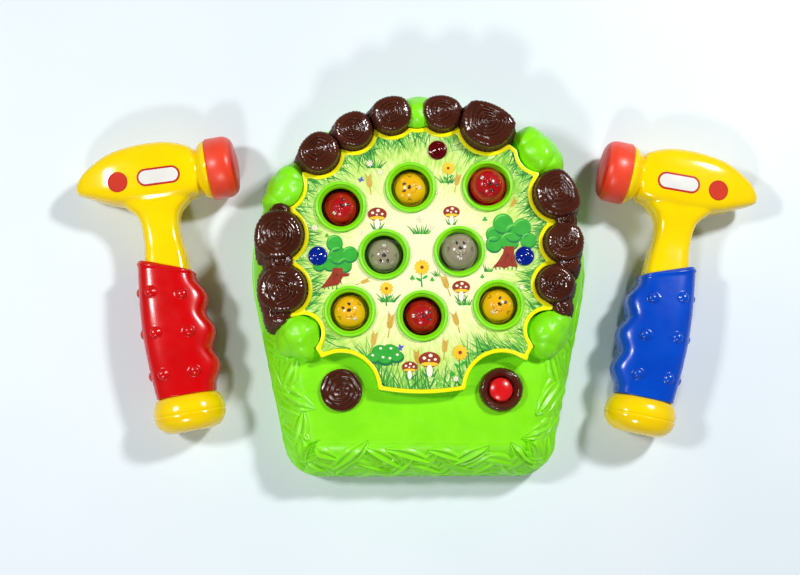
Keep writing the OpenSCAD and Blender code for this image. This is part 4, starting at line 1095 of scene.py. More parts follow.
# %% Button ring
BEZEL_R, BEZEL_H = 14.7, 6.0
ring_profile = [(BEZEL_R, 0), (BEZEL_R - 0.2, 2.5), (BEZEL_R - 0.7, 4.6), (BEZEL_R - 1.5, 5.6),
                (BEZEL_R - 2.4, BEZEL_H), (BUTTON_R + 3.9, BEZEL_H), (BUTTON_R + 3.3, 5.7),
                (BUTTON_R + 2.8, 5.0), (BUTTON_R + 2.2, 3.6), (BUTTON_R + 1.2, 2.0), (BUTTON_R + 0.85, 0.3)]
bezel_rings = []
for r, z in ring_profile:
    ring = []
    for a in round_turns(STUMP_AROUND):
        bark = 0.3 * rough_round(4, a, z / 2) + 0.25 * abs(math.sin(15 * a)) - 0.2
        away = r + bark * smooth_step(BUTTON_R + 2.5, BEZEL_R - 1, r)
        crest = 0.25 * rough_round(3, a, 20 + r) * smooth_step(BEZEL_H / 2, BEZEL_H, z)
        ring.append((*polar(DISC_X, DISC_Y, away, a), DECK_Z + z + crest))
    bezel_rings.append(ring)
make("button_log_ring", [loft(bezel_rings)], "stump_brown", ["button_bezel"], sharp=60)
print("button ring rings:", len(bezel_rings))

# %% [markdown]
# The start button is a turned red cap with a crowned top. It moves down by 2.5 mm, so its
# skirt runs far enough below the deck to keep the hole closed.

# %% Start button
BUTTON_STEM_R, COLLAR_R = 2.2, BUTTON_R + 1.6
COLLAR_LOW, COLLAR_TOP = DECK_Z - 4.4, DECK_Z - 2.8
CROWN_R, CROWN_DROP = BUTTON_R - 0.4, 1.7
button_low, button_top = (corner.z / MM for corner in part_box("start_button"))
button_profile = [(BUTTON_STEM_R, button_low), (BUTTON_STEM_R, COLLAR_LOW), (COLLAR_R, COLLAR_LOW),
                  (COLLAR_R, COLLAR_TOP), (BUTTON_R, COLLAR_TOP), (BUTTON_R + 0.3, button_top - 3.2),
                  (BUTTON_R + 0.15, button_top - 2.4)]
for share in (1, 0.92, 0.8, 0.65, 0.5, 0.35, 0.2, 0.05):
    button_profile.append((share * CROWN_R, button_top - CROWN_DROP * share ** 2.4))
button = lathe(DISC_X, DISC_Y, button_profile, 72, cap_first=True, cap_last=True)
make("start_button_cap", [button], "button_red", ["start_button"], "button_body", sharp=50)
print("start button top:", round(button_top, 2), "mm")

# %% [markdown]
# ## Lenses
# Two blue lenses and a red one cover small lamps. Each is a dish with a raised rim, so that
# light gathers in a ring. The turned profile runs up the rim, dips, and rises to a small middle.

# %% Lenses
LENS_R = 6.3
CARD_TOP = FIELD_Z + 0.8
lens_profile = [(LENS_R - 1.3, -3.0), (LENS_R - 1.3, -0.1), (LENS_R, 0.0), (LENS_R, 0.9),
                (LENS_R - 0.25, 1.4), (LENS_R - 0.8, 1.65), (LENS_R - 1.4, 1.5), (LENS_R - 1.9, 1.1),
                (LENS_R - 2.6, 0.9), (2.8, 1.05), (2.0, 1.5), (1.2, 1.85), (0.5, 2.0), (0.1, 2.02)]
LENSES = {"lens_blue_left": (spot(-59.6, 3.5), "lens_blue"),
          "lens_blue_right": (spot(59.6, 3.5), "lens_blue"),
          "lens_red": (spot(9.6, 65.4), "lens_red")}
for node, (place, slot) in LENSES.items():
    dish = lathe(*place, [(r, CARD_TOP + z) for r, z in lens_profile], 64, cap_last=True)
    make(node + "_dish", [dish], slot, [node], sharp=60)
print("lenses:", len(LENSES))

# %% [markdown]
# ## The printed meadow
# The card is printed with drawn plants. A picture could be laid on the card, but flat shapes a few
# hundredths of a millimetre above it stay crisp from any distance and need no file. Every ink
# has its own height, so that one ink always lies over another, and all shapes of one ink are one piece.

# %% Inks
INK_TONES = {
    "grass_light": ((196, 236, 116), (232, 248, 176)),
    "grass_mid": ((96, 186, 56), (128, 206, 70)),
    "grass_dark": ((36, 132, 56), (58, 154, 50)),
    "straw": ((206, 156, 40), (226, 184, 76)),
    "shrub_dark": ((12, 112, 60), (18, 124, 66)),
    "shrub_mid": ((42, 166, 46), (56, 180, 54)),
    "leaf_shade": ((14, 118, 62), (20, 128, 66)),
    "leaf_light": ((98, 206, 76), (112, 214, 86)),
    "sky_blue": ((54, 92, 208), (70, 116, 222)),
    "russet": ((146, 42, 20), (162, 54, 26)),
    "bark_dark": ((104, 30, 18), (116, 38, 22)),
    "gold": ((252, 196, 20), (254, 212, 50)),
    "cream": ((252, 246, 228), (248, 238, 212)),
}
INKS = {name: moulded("ink_" + name, *tones, 0.42, 0.08, mottle=220.0) for name, tones in INK_TONES.items()}
INK_STEP, SHAPE_STEP, SHAPE_LAYERS = 0.04, 0.003, 12
INK_Z = {name: CARD_TOP + INK_STEP * (k + 1) for k, name in enumerate(INKS)}
printed = {name: [] for name in INKS}


def next_z(name):
    """Height of the next shape of an ink, so that shapes that overlap never share a plane."""
    return INK_Z[name] + SHAPE_STEP * (len(printed[name]) % SHAPE_LAYERS)


print("inks:", len(INKS))

# %% [markdown]
# All plants are drawn with four shapes: a curved blade, an oval dab, a stroke along an arc, and a
# patch with a free outline. A blade is left out where it would run into a rim or a lens, and a dab or
# a stroke where it would hang over a hole.

# %% Printed shapes
BLADE_STEPS, DAB_POINTS, ARC_STEPS = 5, 18, 12
BLADE_ROOM, HOLE_ROOM = 0.2, 0.3
FITTINGS = [(*place, RIM_R) for place in MOLES] + [(*place, LENS_R) for place, _ in LENSES.values()]


def clear_of_fittings(x, y):
    """Whether a place on the card is inside its border and clear of the rims and lenses."""
    if any(math.hypot(x - fx, y - fy) < fr + BLADE_ROOM for fx, fy, fr in FITTINGS):
        return False
    turn = math.atan2(y - FIELD_C[1], x - FIELD_C[0])
    return math.dist((x, y), FIELD_C) < field_edge(turn, BORDER_W + BLADE_ROOM)


def over_hole(points):
    """Whether any point lies over one of the moles' open holes."""
    return any(math.dist(p[:2], mole) < HOLE_R + HOLE_ROOM for mole in MOLES for p in points)


def blade(name, x, y, turn, length, width, bend):
    """A curved blade of grass from its foot to its tip."""
    pairs = []
    z = next_z(name)
    for k in range(BLADE_STEPS + 1):
        t = k / BLADE_STEPS
        way = turn + bend * t
        half = width / 2 * (1 - t) ** 0.7
        if k and not clear_of_fittings(x, y):
            return
        pairs.append([(*polar(x, y, half, way + side * math.pi / 2), z) for side in (1, -1)])
        x, y = polar(x, y, length / BLADE_STEPS, way)
    printed[name].append(loft(pairs, closed=False))


def patch(name, outline):
    """A flat shape with a free outline."""
    z = next_z(name)
    printed[name].append(([(x, y, z) for x, y in outline], [tuple(range(len(outline)))]))


def dab(name, x, y, wide, high, turn=0.0):
    """An oval of ink."""
    outline = []
    for a in round_turns(DAB_POINTS):
        u, v = turned(wide * math.cos(a), high * math.sin(a), turn)
        outline.append((x + u, y + v))
    if not over_hole(outline):
        patch(name, outline)


def arc(name, x, y, radius, start, end, wide):
    """A tapered stroke along part of a circle, from start to a larger angle."""
    pairs = []
    z = next_z(name)
    for k in range(ARC_STEPS + 1):
        t = k / ARC_STEPS
        half = wide / 2 * math.sin(math.pi * (0.04 + 0.92 * t))
        way = start + (end - start) * t
        pairs.append([(*polar(x, y, r, way), z) for r in (radius - half, radius + half)])
    if not over_hole(pairs[0] + pairs[ARC_STEPS // 2] + pairs[-1]):
        printed[name].append(loft(pairs, closed=False))


print("fittings to keep clear of:", len(FITTINGS))

# %% [markdown]
# Grass grows in from the border all round, longer along the front. Each blade starts on the
# border's inner edge and leans by a random amount; a fixed seed keeps the drawing the same each time.

# %% Printed grass
BLADES, GRASS_GAP = 1900, 0.3
UP = math.pi / 2
BORDER_GRASS = ("grass_light", "grass_light", "grass_mid", "grass_mid", "grass_dark")
TUFT_GRASS = ("grass_mid", "grass_dark", "grass_dark")
TUFTS = ((0, 32, 9), (-22, -13, 8), (29, -15, 8), (-31, 76, 8),
         (17, 66, 7), (43, 7, 6), (-70, -9, 6), (12, 4, 6))
sow = random.Random(5)
for k in range(BLADES):
    turn = sow.uniform(0, math.tau)
    x, y = polar(*FIELD_C, field_edge(turn, BORDER_W + GRASS_GAP), turn)
    front = smooth_step(-30, -55, y)
    lean = sow.gauss(0, 0.45)
    way = turn + math.pi + lean
    if front > 0 and x < 0:
        way = way * (1 - front) + (UP + lean) * front
    length = sow.uniform(4, 13) + front * sow.uniform(2, 9)
    blade(sow.choice(BORDER_GRASS), x, y, way, length, sow.uniform(0.5, 1.1), sow.uniform(-0.6, 0.6))
print("blades round the border:", sum(len(shapes) for shapes in printed.values()))


def tuft(x, y, size):
    """A fan of blades from one foot."""
    for k in range(-5, 6):
        lean = k * 0.13 + sow.uniform(-0.1, 0.1)
        name = sow.choice(TUFT_GRASS)
        length = size * sow.uniform(0.5, 1.0)
        blade(name, x + k * size * 0.1, y, UP - lean, length, size * 0.13, -lean * sow.uniform(0.2, 1.0))


for place in TUFTS:
    tuft(*place)
print("tufts:", len(TUFTS))

# %% [markdown]
# The bigger plants are toadstools, two trees and a round shrub in blossom. A tree is a crown of
# round lobes, each with a shaded and a sunlit edge, over a trunk with spreading roots. Sizes inside a
# toadstool or a shrub are shares of its own size, so that each can be printed larger or smaller.

# %% Toadstools, shrub and trees
def toadstool(x, y, size):
    dab("cream", x, y - 0.29 * size, 0.12 * size, 0.24 * size)
    dab("russet", x, y + 0.14 * size, 0.42 * size, 0.3 * size)
    dab("gold", x, y - 0.03 * size, 0.33 * size, 0.08 * size)
    for u, v, r in ((-0.2, 0.2, 0.07), (0.04, 0.3, 0.08), (0.22, 0.15, 0.06), (-0.02, 0.12, 0.05)):
        dab("cream", x + u * size, y + v * size, r * size, r * size * 0.85)
    for k in (-2, -1, 1, 2):
        blade("grass_dark", x + k * 0.07 * size, y - 0.52 * size, UP - 0.25 * k, size * 0.35, size * 0.09,
              -0.1 * k)


def shrub(x, y, size):
    lobes = ((-0.46, -0.1, 0.3), (-0.2, 0.16, 0.34), (0.2, 0.2, 0.33), (0.47, -0.06, 0.31),
             (0.02, -0.12, 0.36))
    for u, v, r in lobes:
        dab("shrub_dark", x + u * size, y + v * size, r * size, r * size * 0.82)
        dab("shrub_mid", x + (u - 0.02) * size, y + (v + 0.05) * size, r * size * 0.86, r * size * 0.66)
    for u, v in ((-0.5, 0.02), (-0.18, 0.3), (0.24, 0.3), (0.5, 0.04), (-0.08, -0.06), (0.2, -0.1)):
        dab("cream", x + u * size, y + v * size, 0.06 * size, 0.05 * size)
    for k in range(-4, 5):
        blade("grass_dark", x + k * 0.13 * size, y - 0.4 * size, UP - 0.1 * k, size * 0.2, size * 0.06, 0.1)


def tree(lobes, trunk, hollow):
    for x, y, r in lobes:
        dab("shrub_dark", x, y - 0.1 * r, r, r)
        dab("shrub_mid", x, y, r, r)
        arc("leaf_shade", x, y, r * 0.97, 3.6, 5.9, 0.22 * r)
        arc("leaf_light", x, y, r * 0.8, 1.2, 2.9, 0.2 * r)
    patch("russet", trunk)
    x, y = hollow
    dab("bark_dark", x, y, 0.8, 0.9)
    arc("bark_dark", x - 9, y - 1, 7.4, -0.7, 0.5, 0.5)
    arc("bark_dark", x + 10, y - 3, 7.6, 2.6, 3.7, 0.5)
    for k in range(-3, 4):
        blade("grass_dark", x + 2.6 * k, y - 9.5, UP - 0.12 * k, 4.2, 0.8, 0.1)


TOADSTOOLS = ((-29, 43, 15), (5, -53, 17), (-8, -57, 12), (26, -5, 14), (20, 45, 13))
SHRUBS = ((-24, -48, 16),)
RIGHT_CROWN = ((48, 25.5, 5.6), (58, 27.5, 6.4), (70.5, 28, 5.2), (47.5, 32, 5.0), (61, 33, 6.4),
               (54, 39, 6.8), (66.5, 36.5, 6.0))
RIGHT_TRUNK = ((55.0, 24), (53.6, 19), (50.5, 14), (46.6, 9.5), (51.5, 10.6), (54.5, 9.2), (58, 10.8),
               (63.5, 10), (61.6, 14.5), (61, 19), (61.2, 24))
LEFT_CROWN = ((-67, 11.5, 4.2), (-60, 12.5, 5.0), (-50.5, 11.5, 5.0), (-47, 18.5, 5.4), (-55, 18, 6.0),
              (-57, 26, 5.4))
LEFT_TRUNK = ((-58, 9.5), (-58.8, 6), (-61.5, 2), (-66, -4), (-60, -2.6), (-54.5, -1.6), (-52.8, 1.4),
              (-51.4, 3.8), (-47.6, 4.2), (-47.2, 6), (-51.2, 6.2), (-51.8, 9.5))
TREES = ((RIGHT_CROWN, RIGHT_TRUNK, (57, 18)), (LEFT_CROWN, LEFT_TRUNK, (-55.5, 5)))
for draw_plant, places in ((toadstool, TOADSTOOLS), (tree, TREES), (shrub, SHRUBS)):
    for place in places:
        draw_plant(*place)
print("toadstools, trees and shrubs:", len(TOADSTOOLS), len(TREES), len(SHRUBS))

# %% [markdown]
# Sunflowers, daisies, clover, ears of corn and two butterflies fill the room between the rims. Every
# second petal of a flower is drawn first, so that the others lie over both of their neighbours.

# %% Flowers, corn and butterflies
def flower(x, y, size, petals, petal_ink, heart_ink):
    """A ring of petals round a heart."""
    for k in [*range(0, petals, 2), *range(1, petals, 2)]:
        a = math.tau * k / petals + 0.2
        dab(petal_ink, *polar(x, y, 0.62 * size, a), 0.4 * size, 0.19 * size, a)
    dab(heart_ink, x, y, 0.32 * size, 0.32 * size)


def sunflower(x, y, size):
    stem = 2.6 * size
    blade("grass_dark", x, y - stem, UP + 0.1, stem, size * 0.2, -0.2)
    dab("shrub_mid", x - size * 0.42, y - stem * 0.62, size * 0.4, size * 0.16, 2.6)
    dab("shrub_mid", x + size * 0.42, y - stem * 0.5, size * 0.4, size * 0.16, 0.6)
    flower(x, y, size, 12, "gold", "russet")


def daisy(x, y, size):
    flower(x, y, size, 8, "cream", "gold")


def clover(x, y, size):
    blade("grass_mid", x, y - size, UP, size, size * 0.2, 0.15)
    for a in (UP, UP + 2.1, UP - 2.1):
        dab("shrub_mid", *polar(x, y, 0.4 * size, a), 0.38 * size, 0.34 * size, a)


def corn_ear(x, y, size, lean):
    way = UP - lean
    blade("straw", x, y, way, size * 1.05, size * 0.05, 0.0)
    for k in range(6):
        for side in (-1, 1):
            along, across = turned(size * (0.46 + 0.1 * k), side * 0.065 * size, way)
            dab("straw", x + along, y + across, 0.08 * size, 0.035 * size, way + side * 0.6)
            blade("straw", x + along, y + across, way + side * 0.45, size * 0.26, size * 0.03, 0.0)


def butterfly(x, y, size, turn):
    for side in (-1, 1):
        for opening_turn, far, wide in ((0.6, 0.5, 0.45), (2.3, 0.38, 0.32)):
            a = turn + side * opening_turn
            dab("sky_blue", *polar(x, y, far * size, a), wide * size, wide * size * 0.6, a)
    dab("russet", x, y, 0.5 * size, 0.09 * size, turn)


SUNFLOWERS = ((0.3, 10, 5.0), (-23, -4, 4.4), (25, -46, 5.2), (18, 76, 4.2))
DAISIES = ((-1, 42, 2.4), (6, 36, 2.0), (-34, 79, 2.3), (-27, 73, 2.0), (22, -63, 2.0), (36, 37, 2.0),
           (-39, 33, 2.0), (-70, 36, 2.2), (66, -3, 1.8), (11, 60, 1.9))
CLOVERS = ((-6, 3, 2.2), (7, 2, 2.0), (40, 4, 1.8), (-16, -44, 2.4), (42, 42, 2.2), (-62, 31, 1.8),
           (20, -60, 2.2))
CORN_EARS = ((-33, 58, 13, -0.15), (57, 47, 10, 0.6), (22, 60, 12, 0.25), (-43, -1.5, 9, 1.2),
             (25, -33, 13, -0.3), (-22, -36, 15, 0.15), (19, -9, 14, -0.35), (-33, -46, 13, 0.2),
             (-2, -58, 13, -0.12), (14, -51, 13, 0.12))
BUTTERFLIES = ((-14, -43, 2.6, 1.2), (-40, 68, 2.4, 0.5))
for draw_plant, places in ((sunflower, SUNFLOWERS), (daisy, DAISIES), (clover, CLOVERS),
                           (corn_ear, CORN_EARS), (butterfly, BUTTERFLIES)):
    for place in places:
        draw_plant(*place)
for name, shapes in printed.items():
    make("print_" + name, shapes, "panel_print", finish=INKS[name])
print("printed shapes:", sum(len(shapes) for shapes in printed.values()))

# %% [markdown]
# ## Moles
# A mole is a domed cap on a skirt, with a stem that goes down to the works. Its face is moulded:
# cheeks, chin and ears in the cap's own plastic, and painted eyes, nose, mouth, whiskers and teeth. White
# glints on the eyes and the nose are painted highlights.
# The face parts are small domed patches wrapped on the dome, so they catch light from every side.

# %% Mole shapes
MOLE_R, DOME_R, DOME_H, NOSE_R = 11.3, 10.7, 8.5, 1.5
BALL_R = (DOME_R ** 2 + DOME_H ** 2) / (2 * DOME_H)
MOLE_STEM_R, FLANGE_R, SKIRT_LEN = 4.0, 13.8, 18.05
DOME_STEPS, DOME_CLOSE = 27, 26.5
PATCH_STEPS, PATCH_AROUND = 6, 24


def mole_cap(x, y, low, top):
    """Stem, hollow skirt and dome as one turned profile, from the stem's foot up."""
    skirt = top - SKIRT_LEN
    profile = [(MOLE_STEM_R, low), (MOLE_STEM_R, top - 6.4), (7.6, top - 6.45), (9.4, top - 9.4),
               (9.5, skirt), (FLANGE_R, skirt), (FLANGE_R, skirt + 2), (MOLE_R, skirt + 2.05),
               (MOLE_R, top - 9.3), (MOLE_R - 0.12, top - 8.85), (MOLE_R - 0.3, top - 8.65),
               (DOME_R + 0.15, top - 8.75), (DOME_R + 0.02, top - 9.0)]
    for k in range(DOME_STEPS):
        r = DOME_R * math.cos(math.radians(90 * k / DOME_CLOSE))
        profile.append((r, top - BALL_R + math.sqrt(BALL_R ** 2 - r ** 2)))
    return lathe(x, y, profile, 88, cap_first=True, cap_last=True)


def dome_patch(mole, u, v, wide, high, rise, turn=0.0, sink=0.12):
    """A domed oval on a mole's cap, centred at (u, v) on its face, where -v is towards the teeth."""
    x, y, top, face = mole
    rings = []
    for k in range(PATCH_STEPS, -1, -1):
        f = max(k / PATCH_STEPS, 0.04)
        ring = []
        for a in round_turns(PATCH_AROUND):
            du, dv = turned(wide * f * math.cos(a), high * f * math.sin(a), turn)
            pu, pv = u + du, v + dv
            out = Vector((pu, pv, math.sqrt(max(BALL_R ** 2 - pu ** 2 - pv ** 2, 4.0)))).normalized()
            p = out * (BALL_R - sink + (rise + sink) * math.sqrt(1 - f * f * 0.999))
            px, py = turned(p.x, p.y, math.radians(face + 90))
            ring.append((x + px, y + py, top - BALL_R + p.z))
        rings.append(ring)
    return loft(rings, cap_last=True)


def patch_pair(mole, u, v, wide, high, rise, turn=0.0, sink=0.12):
    """The same patch on the left and the right of the face."""
    return [dome_patch(mole, side * u, v, wide, high, rise, side * turn, sink) for side in (-1, 1)]


print("radius of the dome's ball:", round(BALL_R, 2), "mm")

# %% [markdown]
# The eight moles differ in their plastic and in the way they look, and some stand higher than
# others: the box of each solid gives its height. The face is one list of patches, which is turned
# with its mole, and everything on a mole rides on that mole's own body.

# %% Moles
# Direction that each face looks, in degrees from the right, and its plastic
MOLE_FACE = (225, 0, 140, 90, 270, 305, 180, 230)
MOLE_SLOT = ("mole_red", "mole_yellow", "mole_red", "mole_grey", "mole_grey", "mole_yellow", "mole_red",
             "mole_yellow")
# Patches of the face: across, up, half width, half height, rise, turn, sink
CHEEKS = (1.75, -1.7, 2.5, 2.1, 0.75, 0, 0.5)
CHIN = (0, -4.1, 1.9, 1.3, 0.5, 0, 0.5)
EARS = (5.6, 5.8, 1.9, 1.5, 0.7, -0.7, 0.5)
EYES = (2.3, 4.3, 0.95, 1.4, 0.38)
NOSE = (0, 0.9, 1.45, 1.1, 1.0)
WHISKERS = tuple((7.4 + 0.5 * abs(k), 0.6 + 0.95 * k, 0.95, 0.22, 0.2, 0.25 * k) for k in (-1, 0, 1))
MOUTH = (0.9, -3.6, 0.9, 0.2, 0.55, 0.5)
TEETH = (0.62, -5.9, 0.58, 1.05, 0.6)
# Painted highlights: white glints on the eyes and on the nose
PAINTED_GLINTS = ((-2.0, 4.85, 0.3, 0.38, 0.5), (2.6, 4.85, 0.3, 0.38, 0.5), (0.35, 1.25, 0.42, 0.22, 1.08, 0.3))
for k, (x, y) in enumerate(MOLES):
    node, body, slot = f"mole_{k + 1}", f"mole_{k + 1}_body", MOLE_SLOT[k]
    low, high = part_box(node)
    top = high.z / MM - NOSE_R
    mole = (x, y, top, MOLE_FACE[k])
    cap = [mole_cap(x, y, low.z / MM, top), *patch_pair(mole, *CHEEKS), dome_patch(mole, *CHIN),
           *patch_pair(mole, *EARS)]
    make(node + "_cap", cap, slot, [node], body, sharp=55)
    black = [*patch_pair(mole, *EYES), dome_patch(mole, *NOSE), *patch_pair(mole, *MOUTH)]
    black += [stroke for whisker in WHISKERS for stroke in patch_pair(mole, *whisker)]
    make(node + "_face_black", black, "switch_black", body=body)
    # The white teeth, and the painted highlights on the eyes and the nose
    white = [dome_patch(mole, *painted_glint) for painted_glint in PAINTED_GLINTS] + patch_pair(mole, *TEETH)
    make(node + "_face_white", white, "gear_white", body=body)
print("moles:", len(MOLES))

# %% [markdown]
# ## Springs
# A small steel coil stands under each mole and under the start button. It is a shape that the solid
# already has, but a solid can only ride on one body, and a coil grows and shrinks. Here a copy of
# its mesh takes the steel finish and stands in for the solid, which is hidden.

# %% Springs
coils = [(f"mole_spring_{k + 1}", f"mole_{k + 1}_body") for k in range(len(MOLES))]
coils.append(("start_spring", "button_body"))
for node, body in coils:
    low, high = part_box(node)
    coil = bpy.data.objects.new(node + "_coil", frame["nodes"][node].data.copy())
    coil.data.materials.clear()
    coil.data.materials.append(FINISH["spring_steel"])
    bpy.context.scene.collection.objects.link(coil)
    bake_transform(coil)
    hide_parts(node)
print("springs:", len(coils))

# %% [markdown]
# ## Mallets
# A mallet is two yellow half shells that meet in the middle plane, with a soft striker pad at one
# end of the head, a rubber sleeve with nubs on the handle, and a cap on its end. Everything is
# made once, in the mallet's own frame, and placed twice: the right mallet is the mirrored one.

# %% Mallet places
AXIS_Z = 21.0
MALLET_X = BODY_R + 68.5
LEFT_PLACE = Matrix.Translation((-MALLET_X, 76.9, AXIS_Z)) @ Matrix.Rotation(math.radians(10), 4, "Z")
RIGHT_PLACE = (Matrix.Translation((MALLET_X + 0.3, 73.0, AXIS_Z)) @ Matrix.Rotation(math.radians(-12), 4, "Z")
               @ Matrix.Scale(-1, 4, (1, 0, 0)))
MALLETS = {"left": LEFT_PLACE, "right": RIGHT_PLACE}


def on_mallets(piece, meshes, slot, node=None, finish=None, sharp=SHARP_ANGLE):
    """The same piece on both mallets, which stands for one of the mallet's own nodes."""
    for side, place in MALLETS.items():
        stands_for = [f"{side}_{node}"] if node else ()
        make(f"{side}_{piece}", [moved(mesh, place) for mesh in meshes], slot, stands_for, f"{side}_mallet",
             finish, sharp)


print("mallets:", len(MALLETS))

# %% [markdown]
# ### Mallet shell
# The head, the neck and the flared cup are first three simple skins. The head and the neck are
# squared-off ovals: a few sections are written down, and the ones between are filled in by a smooth
# curve through them. The cup is turned.

# %% Mallet skins
# Head sections: place along the head, middle height, half height, half thickness
HEAD = ((-51, -2.6, 2.5, 4.5), (-48, -1.7, 5.3, 7.5), (-42, -0.3, 9.6, 10.5), (-26, 0.1, 17.4, 14.8),
        (-7, -0.3, 20.8, 16.5), (12, -1, 20.8, 16.5), (24, -2.4, 18.6, 15.8), (30.5, -3.2, 15.8, 14.8))
# Neck sections: place along the handle, middle across, half width, half thickness
NECK = ((-8, 1, 22, 13), (-17, 1.8, 24, 13.5), (-22, 2.2, 20.6, 13.3), (-26.6, 1.8, 16, 13),
        (-31, 1.4, 13.6, 12.6), (-38, 1.2, 12.5, 12.2), (-47, 1.2, 12.6, 12.3), (-58, 1.2, 14.2, 13.4),
        (-72, 0, 16, 14.5), (-90, 0, 16, 14.5))
SECTION_STEPS, SECTION_AROUND, BOXY = 6, 64, 0.5
CUP_H = 8.0
CUP_PLACE = Matrix.Translation((31.5, -3.2, 0)) @ Matrix.Rotation(math.pi / 2, 4, "Y")


def between(rows, steps):
    """Rows of numbers, filled in smoothly between the given ones."""
    filled = []
    for k in range(len(rows) - 1):
        before, after = rows[max(k - 1, 0)], rows[min(k + 2, len(rows) - 1)]
        for i in range(steps):
            t = i / steps
            row = []
            for p0, p1, p2, p3 in zip(before, rows[k], rows[k + 1], after):
                row.append(0.5 * (2 * p1 + (p2 - p0) * t + (2 * p0 - 5 * p1 + 4 * p2 - p3) * t * t
                                  + (3 * p1 - p0 - 3 * p2 + p3) * t ** 3))
            filled.append(row)
    filled.append(list(rows[-1]))
    return filled


def boxed(value, power):
    """A cosine or sine with its curve squared off by a power below 1."""
    return math.copysign(abs(value) ** power, value)


def oval(wide, high, power, around):
    """Points round an oval, which is squared off by a power below 1."""
    return [(wide * boxed(math.cos(a), power), high * boxed(math.sin(a), power)) for a in round_turns(around)]


head_rings = [[(x, mid + u, v) for u, v in oval(tall, thick, BOXY, SECTION_AROUND)]
              for x, mid, tall, thick in between(HEAD, SECTION_STEPS)]
neck_rings = [[(mid - u, y, v) for u, v in oval(wide, thick, BOXY, SECTION_AROUND)]
              for y, mid, wide, thick in between(NECK, SECTION_STEPS)[::-1]]
cup_profile = [(13.6, -6), (14.4, -0.6), (14.7, 0.2), (16.2, 1.7), (17.9, 3.1), (19.2, 4.8), (19.9, 6.6),
               (20.2, CUP_H)]
mallet_skins = [loft(rings, cap_first=True, cap_last=True) for rings in (head_rings, neck_rings)]
mallet_skins.append(moved(lathe(0, 0, cup_profile, 64, cap_first=True, cap_last=True), CUP_PLACE))
print("mallet skins:", sum(len(points) for points, _ in mallet_skins), "points")

# %% [markdown]
# A boolean union of the skins would leave hard creases where they meet. A voxel remesh melts them
# into one skin of small even faces instead, and smoothing softens the joints as a mould maker would.

# %% Join and smooth the shell
VOXEL, SMOOTHING = 0.9, 9


def remeshed(meshes):
    """One smooth closed mesh from several overlapping ones."""
    points, faces = joined(meshes)
    raw = bpy.data.meshes.new("raw")
    raw.from_pydata([tuple(p) for p in points], [], faces)
    carrier = bpy.data.objects.new("carrier", raw)
    bpy.context.scene.collection.objects.link(carrier)
    joiner = carrier.modifiers.new("join", "REMESH")
    joiner.mode = "VOXEL"
    joiner.voxel_size = VOXEL
    softener = carrier.modifiers.new("soften", "SMOOTH")
    softener.factor = 0.5
    softener.iterations = SMOOTHING
    shown = carrier.evaluated_get(bpy.context.evaluated_depsgraph_get())
    result = bpy.data.meshes.new_from_object(shown)
    smooth = [v.co.copy() for v in result.vertices], [tuple(p.vertices) for p in result.polygons]
    bpy.data.objects.remove(carrier)
    bpy.data.meshes.remove(result)
    bpy.data.meshes.remove(raw)
    return smooth


shell_mesh = remeshed(mallet_skins)
print("joined shell:", len(shell_mesh[0]), "points")

# %% [markdown]
# The two halves are cut a hair's breadth apart, and the rim of each cut is drawn in a little, so
# the parting line of the real mallet shows as a fine groove.

# %% Half shells
SEAM, GROOVE_HALF, GROOVE_DEPTH = 0.14, 0.8, 0.3


def half_shell(mesh, side):
    """The half of a closed mesh above the middle plane, for side 1, or below it, for side -1."""
    points, faces = mesh
    work = bmesh.new()
    made = [work.verts.new(p) for p in points]
    for face in faces:
        work.faces.new([made[i] for i in face])
    work.normal_update()
    near_seam = [v for v in work.verts if abs(v.co.z) < GROOVE_HALF]
    drawn_in = [v.normal * GROOVE_DEPTH * (1 - abs(v.co.z) / GROOVE_HALF) for v in near_seam]
    for v, step in zip(near_seam, drawn_in):
        v.co -= step
    bmesh.ops.bisect_plane(work, geom=work.verts[:] + work.edges[:] + work.faces[:],
                           plane_co=(0, 0, side * SEAM / 2), plane_no=(0, 0, side), clear_inner=True)
    rim = [e for e in work.edges if e.is_boundary]
    bmesh.ops.holes_fill(work, edges=rim, sides=0)
    bmesh.ops.recalc_face_normals(work, faces=work.faces[:])
    work.verts.index_update()
    result = [v.co.copy() for v in work.verts], [tuple(v.index for v in f.verts) for f in work.faces]
    work.free()
    return result


for half, side in (("shell_upper", 1), ("shell_lower", -1)):
    on_mallets(half + "_moulded", [half_shell(shell_mesh, side)], "mallet_yellow", half, sharp=50)
print("half shells:", 2 * len(MALLETS))

# %% [markdown]
# ### Striker pad
# The pad is a turned soft cap with a rounded edge and a crowned face. The face has a deeper red as painted
# shade, for the end that turns away from the light. It is one profile, cut in two where the colour changes.

# %% Pads
PAD_R, PAD_ROUND, PAD_CROWN = 21.0, 8.0, 1.5
PAD_TOP = CUP_H + 20.0
ROUND_FROM = PAD_TOP - PAD_CROWN - PAD_ROUND
PAD_STEPS, FACE_FROM = 10, 9
pad_profile = [(6.0, 2.0), (6.0, CUP_H), (PAD_R - 0.5, CUP_H), (PAD_R, CUP_H + 0.5), (PAD_R, ROUND_FROM)]
for k in range(1, PAD_STEPS + 1):
    pad_profile.append(polar(PAD_R - PAD_ROUND, ROUND_FROM, PAD_ROUND, math.pi / 2 * k / PAD_STEPS))
for share in (0.8, 0.6, 0.4, 0.2, 0.03):
    pad_profile.append((share * (PAD_R - PAD_ROUND), PAD_TOP - PAD_CROWN * share ** 2))
pad_side = moved(lathe(0, 0, pad_profile[:FACE_FROM + 1], cap_first=True), CUP_PLACE)
shaded_pad_face = moved(lathe(0, 0, pad_profile[FACE_FROM:], cap_last=True), CUP_PLACE)
on_mallets("pad_soft", [pad_side], "pad_orange", "pad", sharp=50)
# The face's deeper red is painted shade
on_mallets("shaded_pad_face", [shaded_pad_face], "pad_orange", "pad", FINISH["shaded_pad_face"], sharp=50)
print("pad profile points:", len(pad_profile))

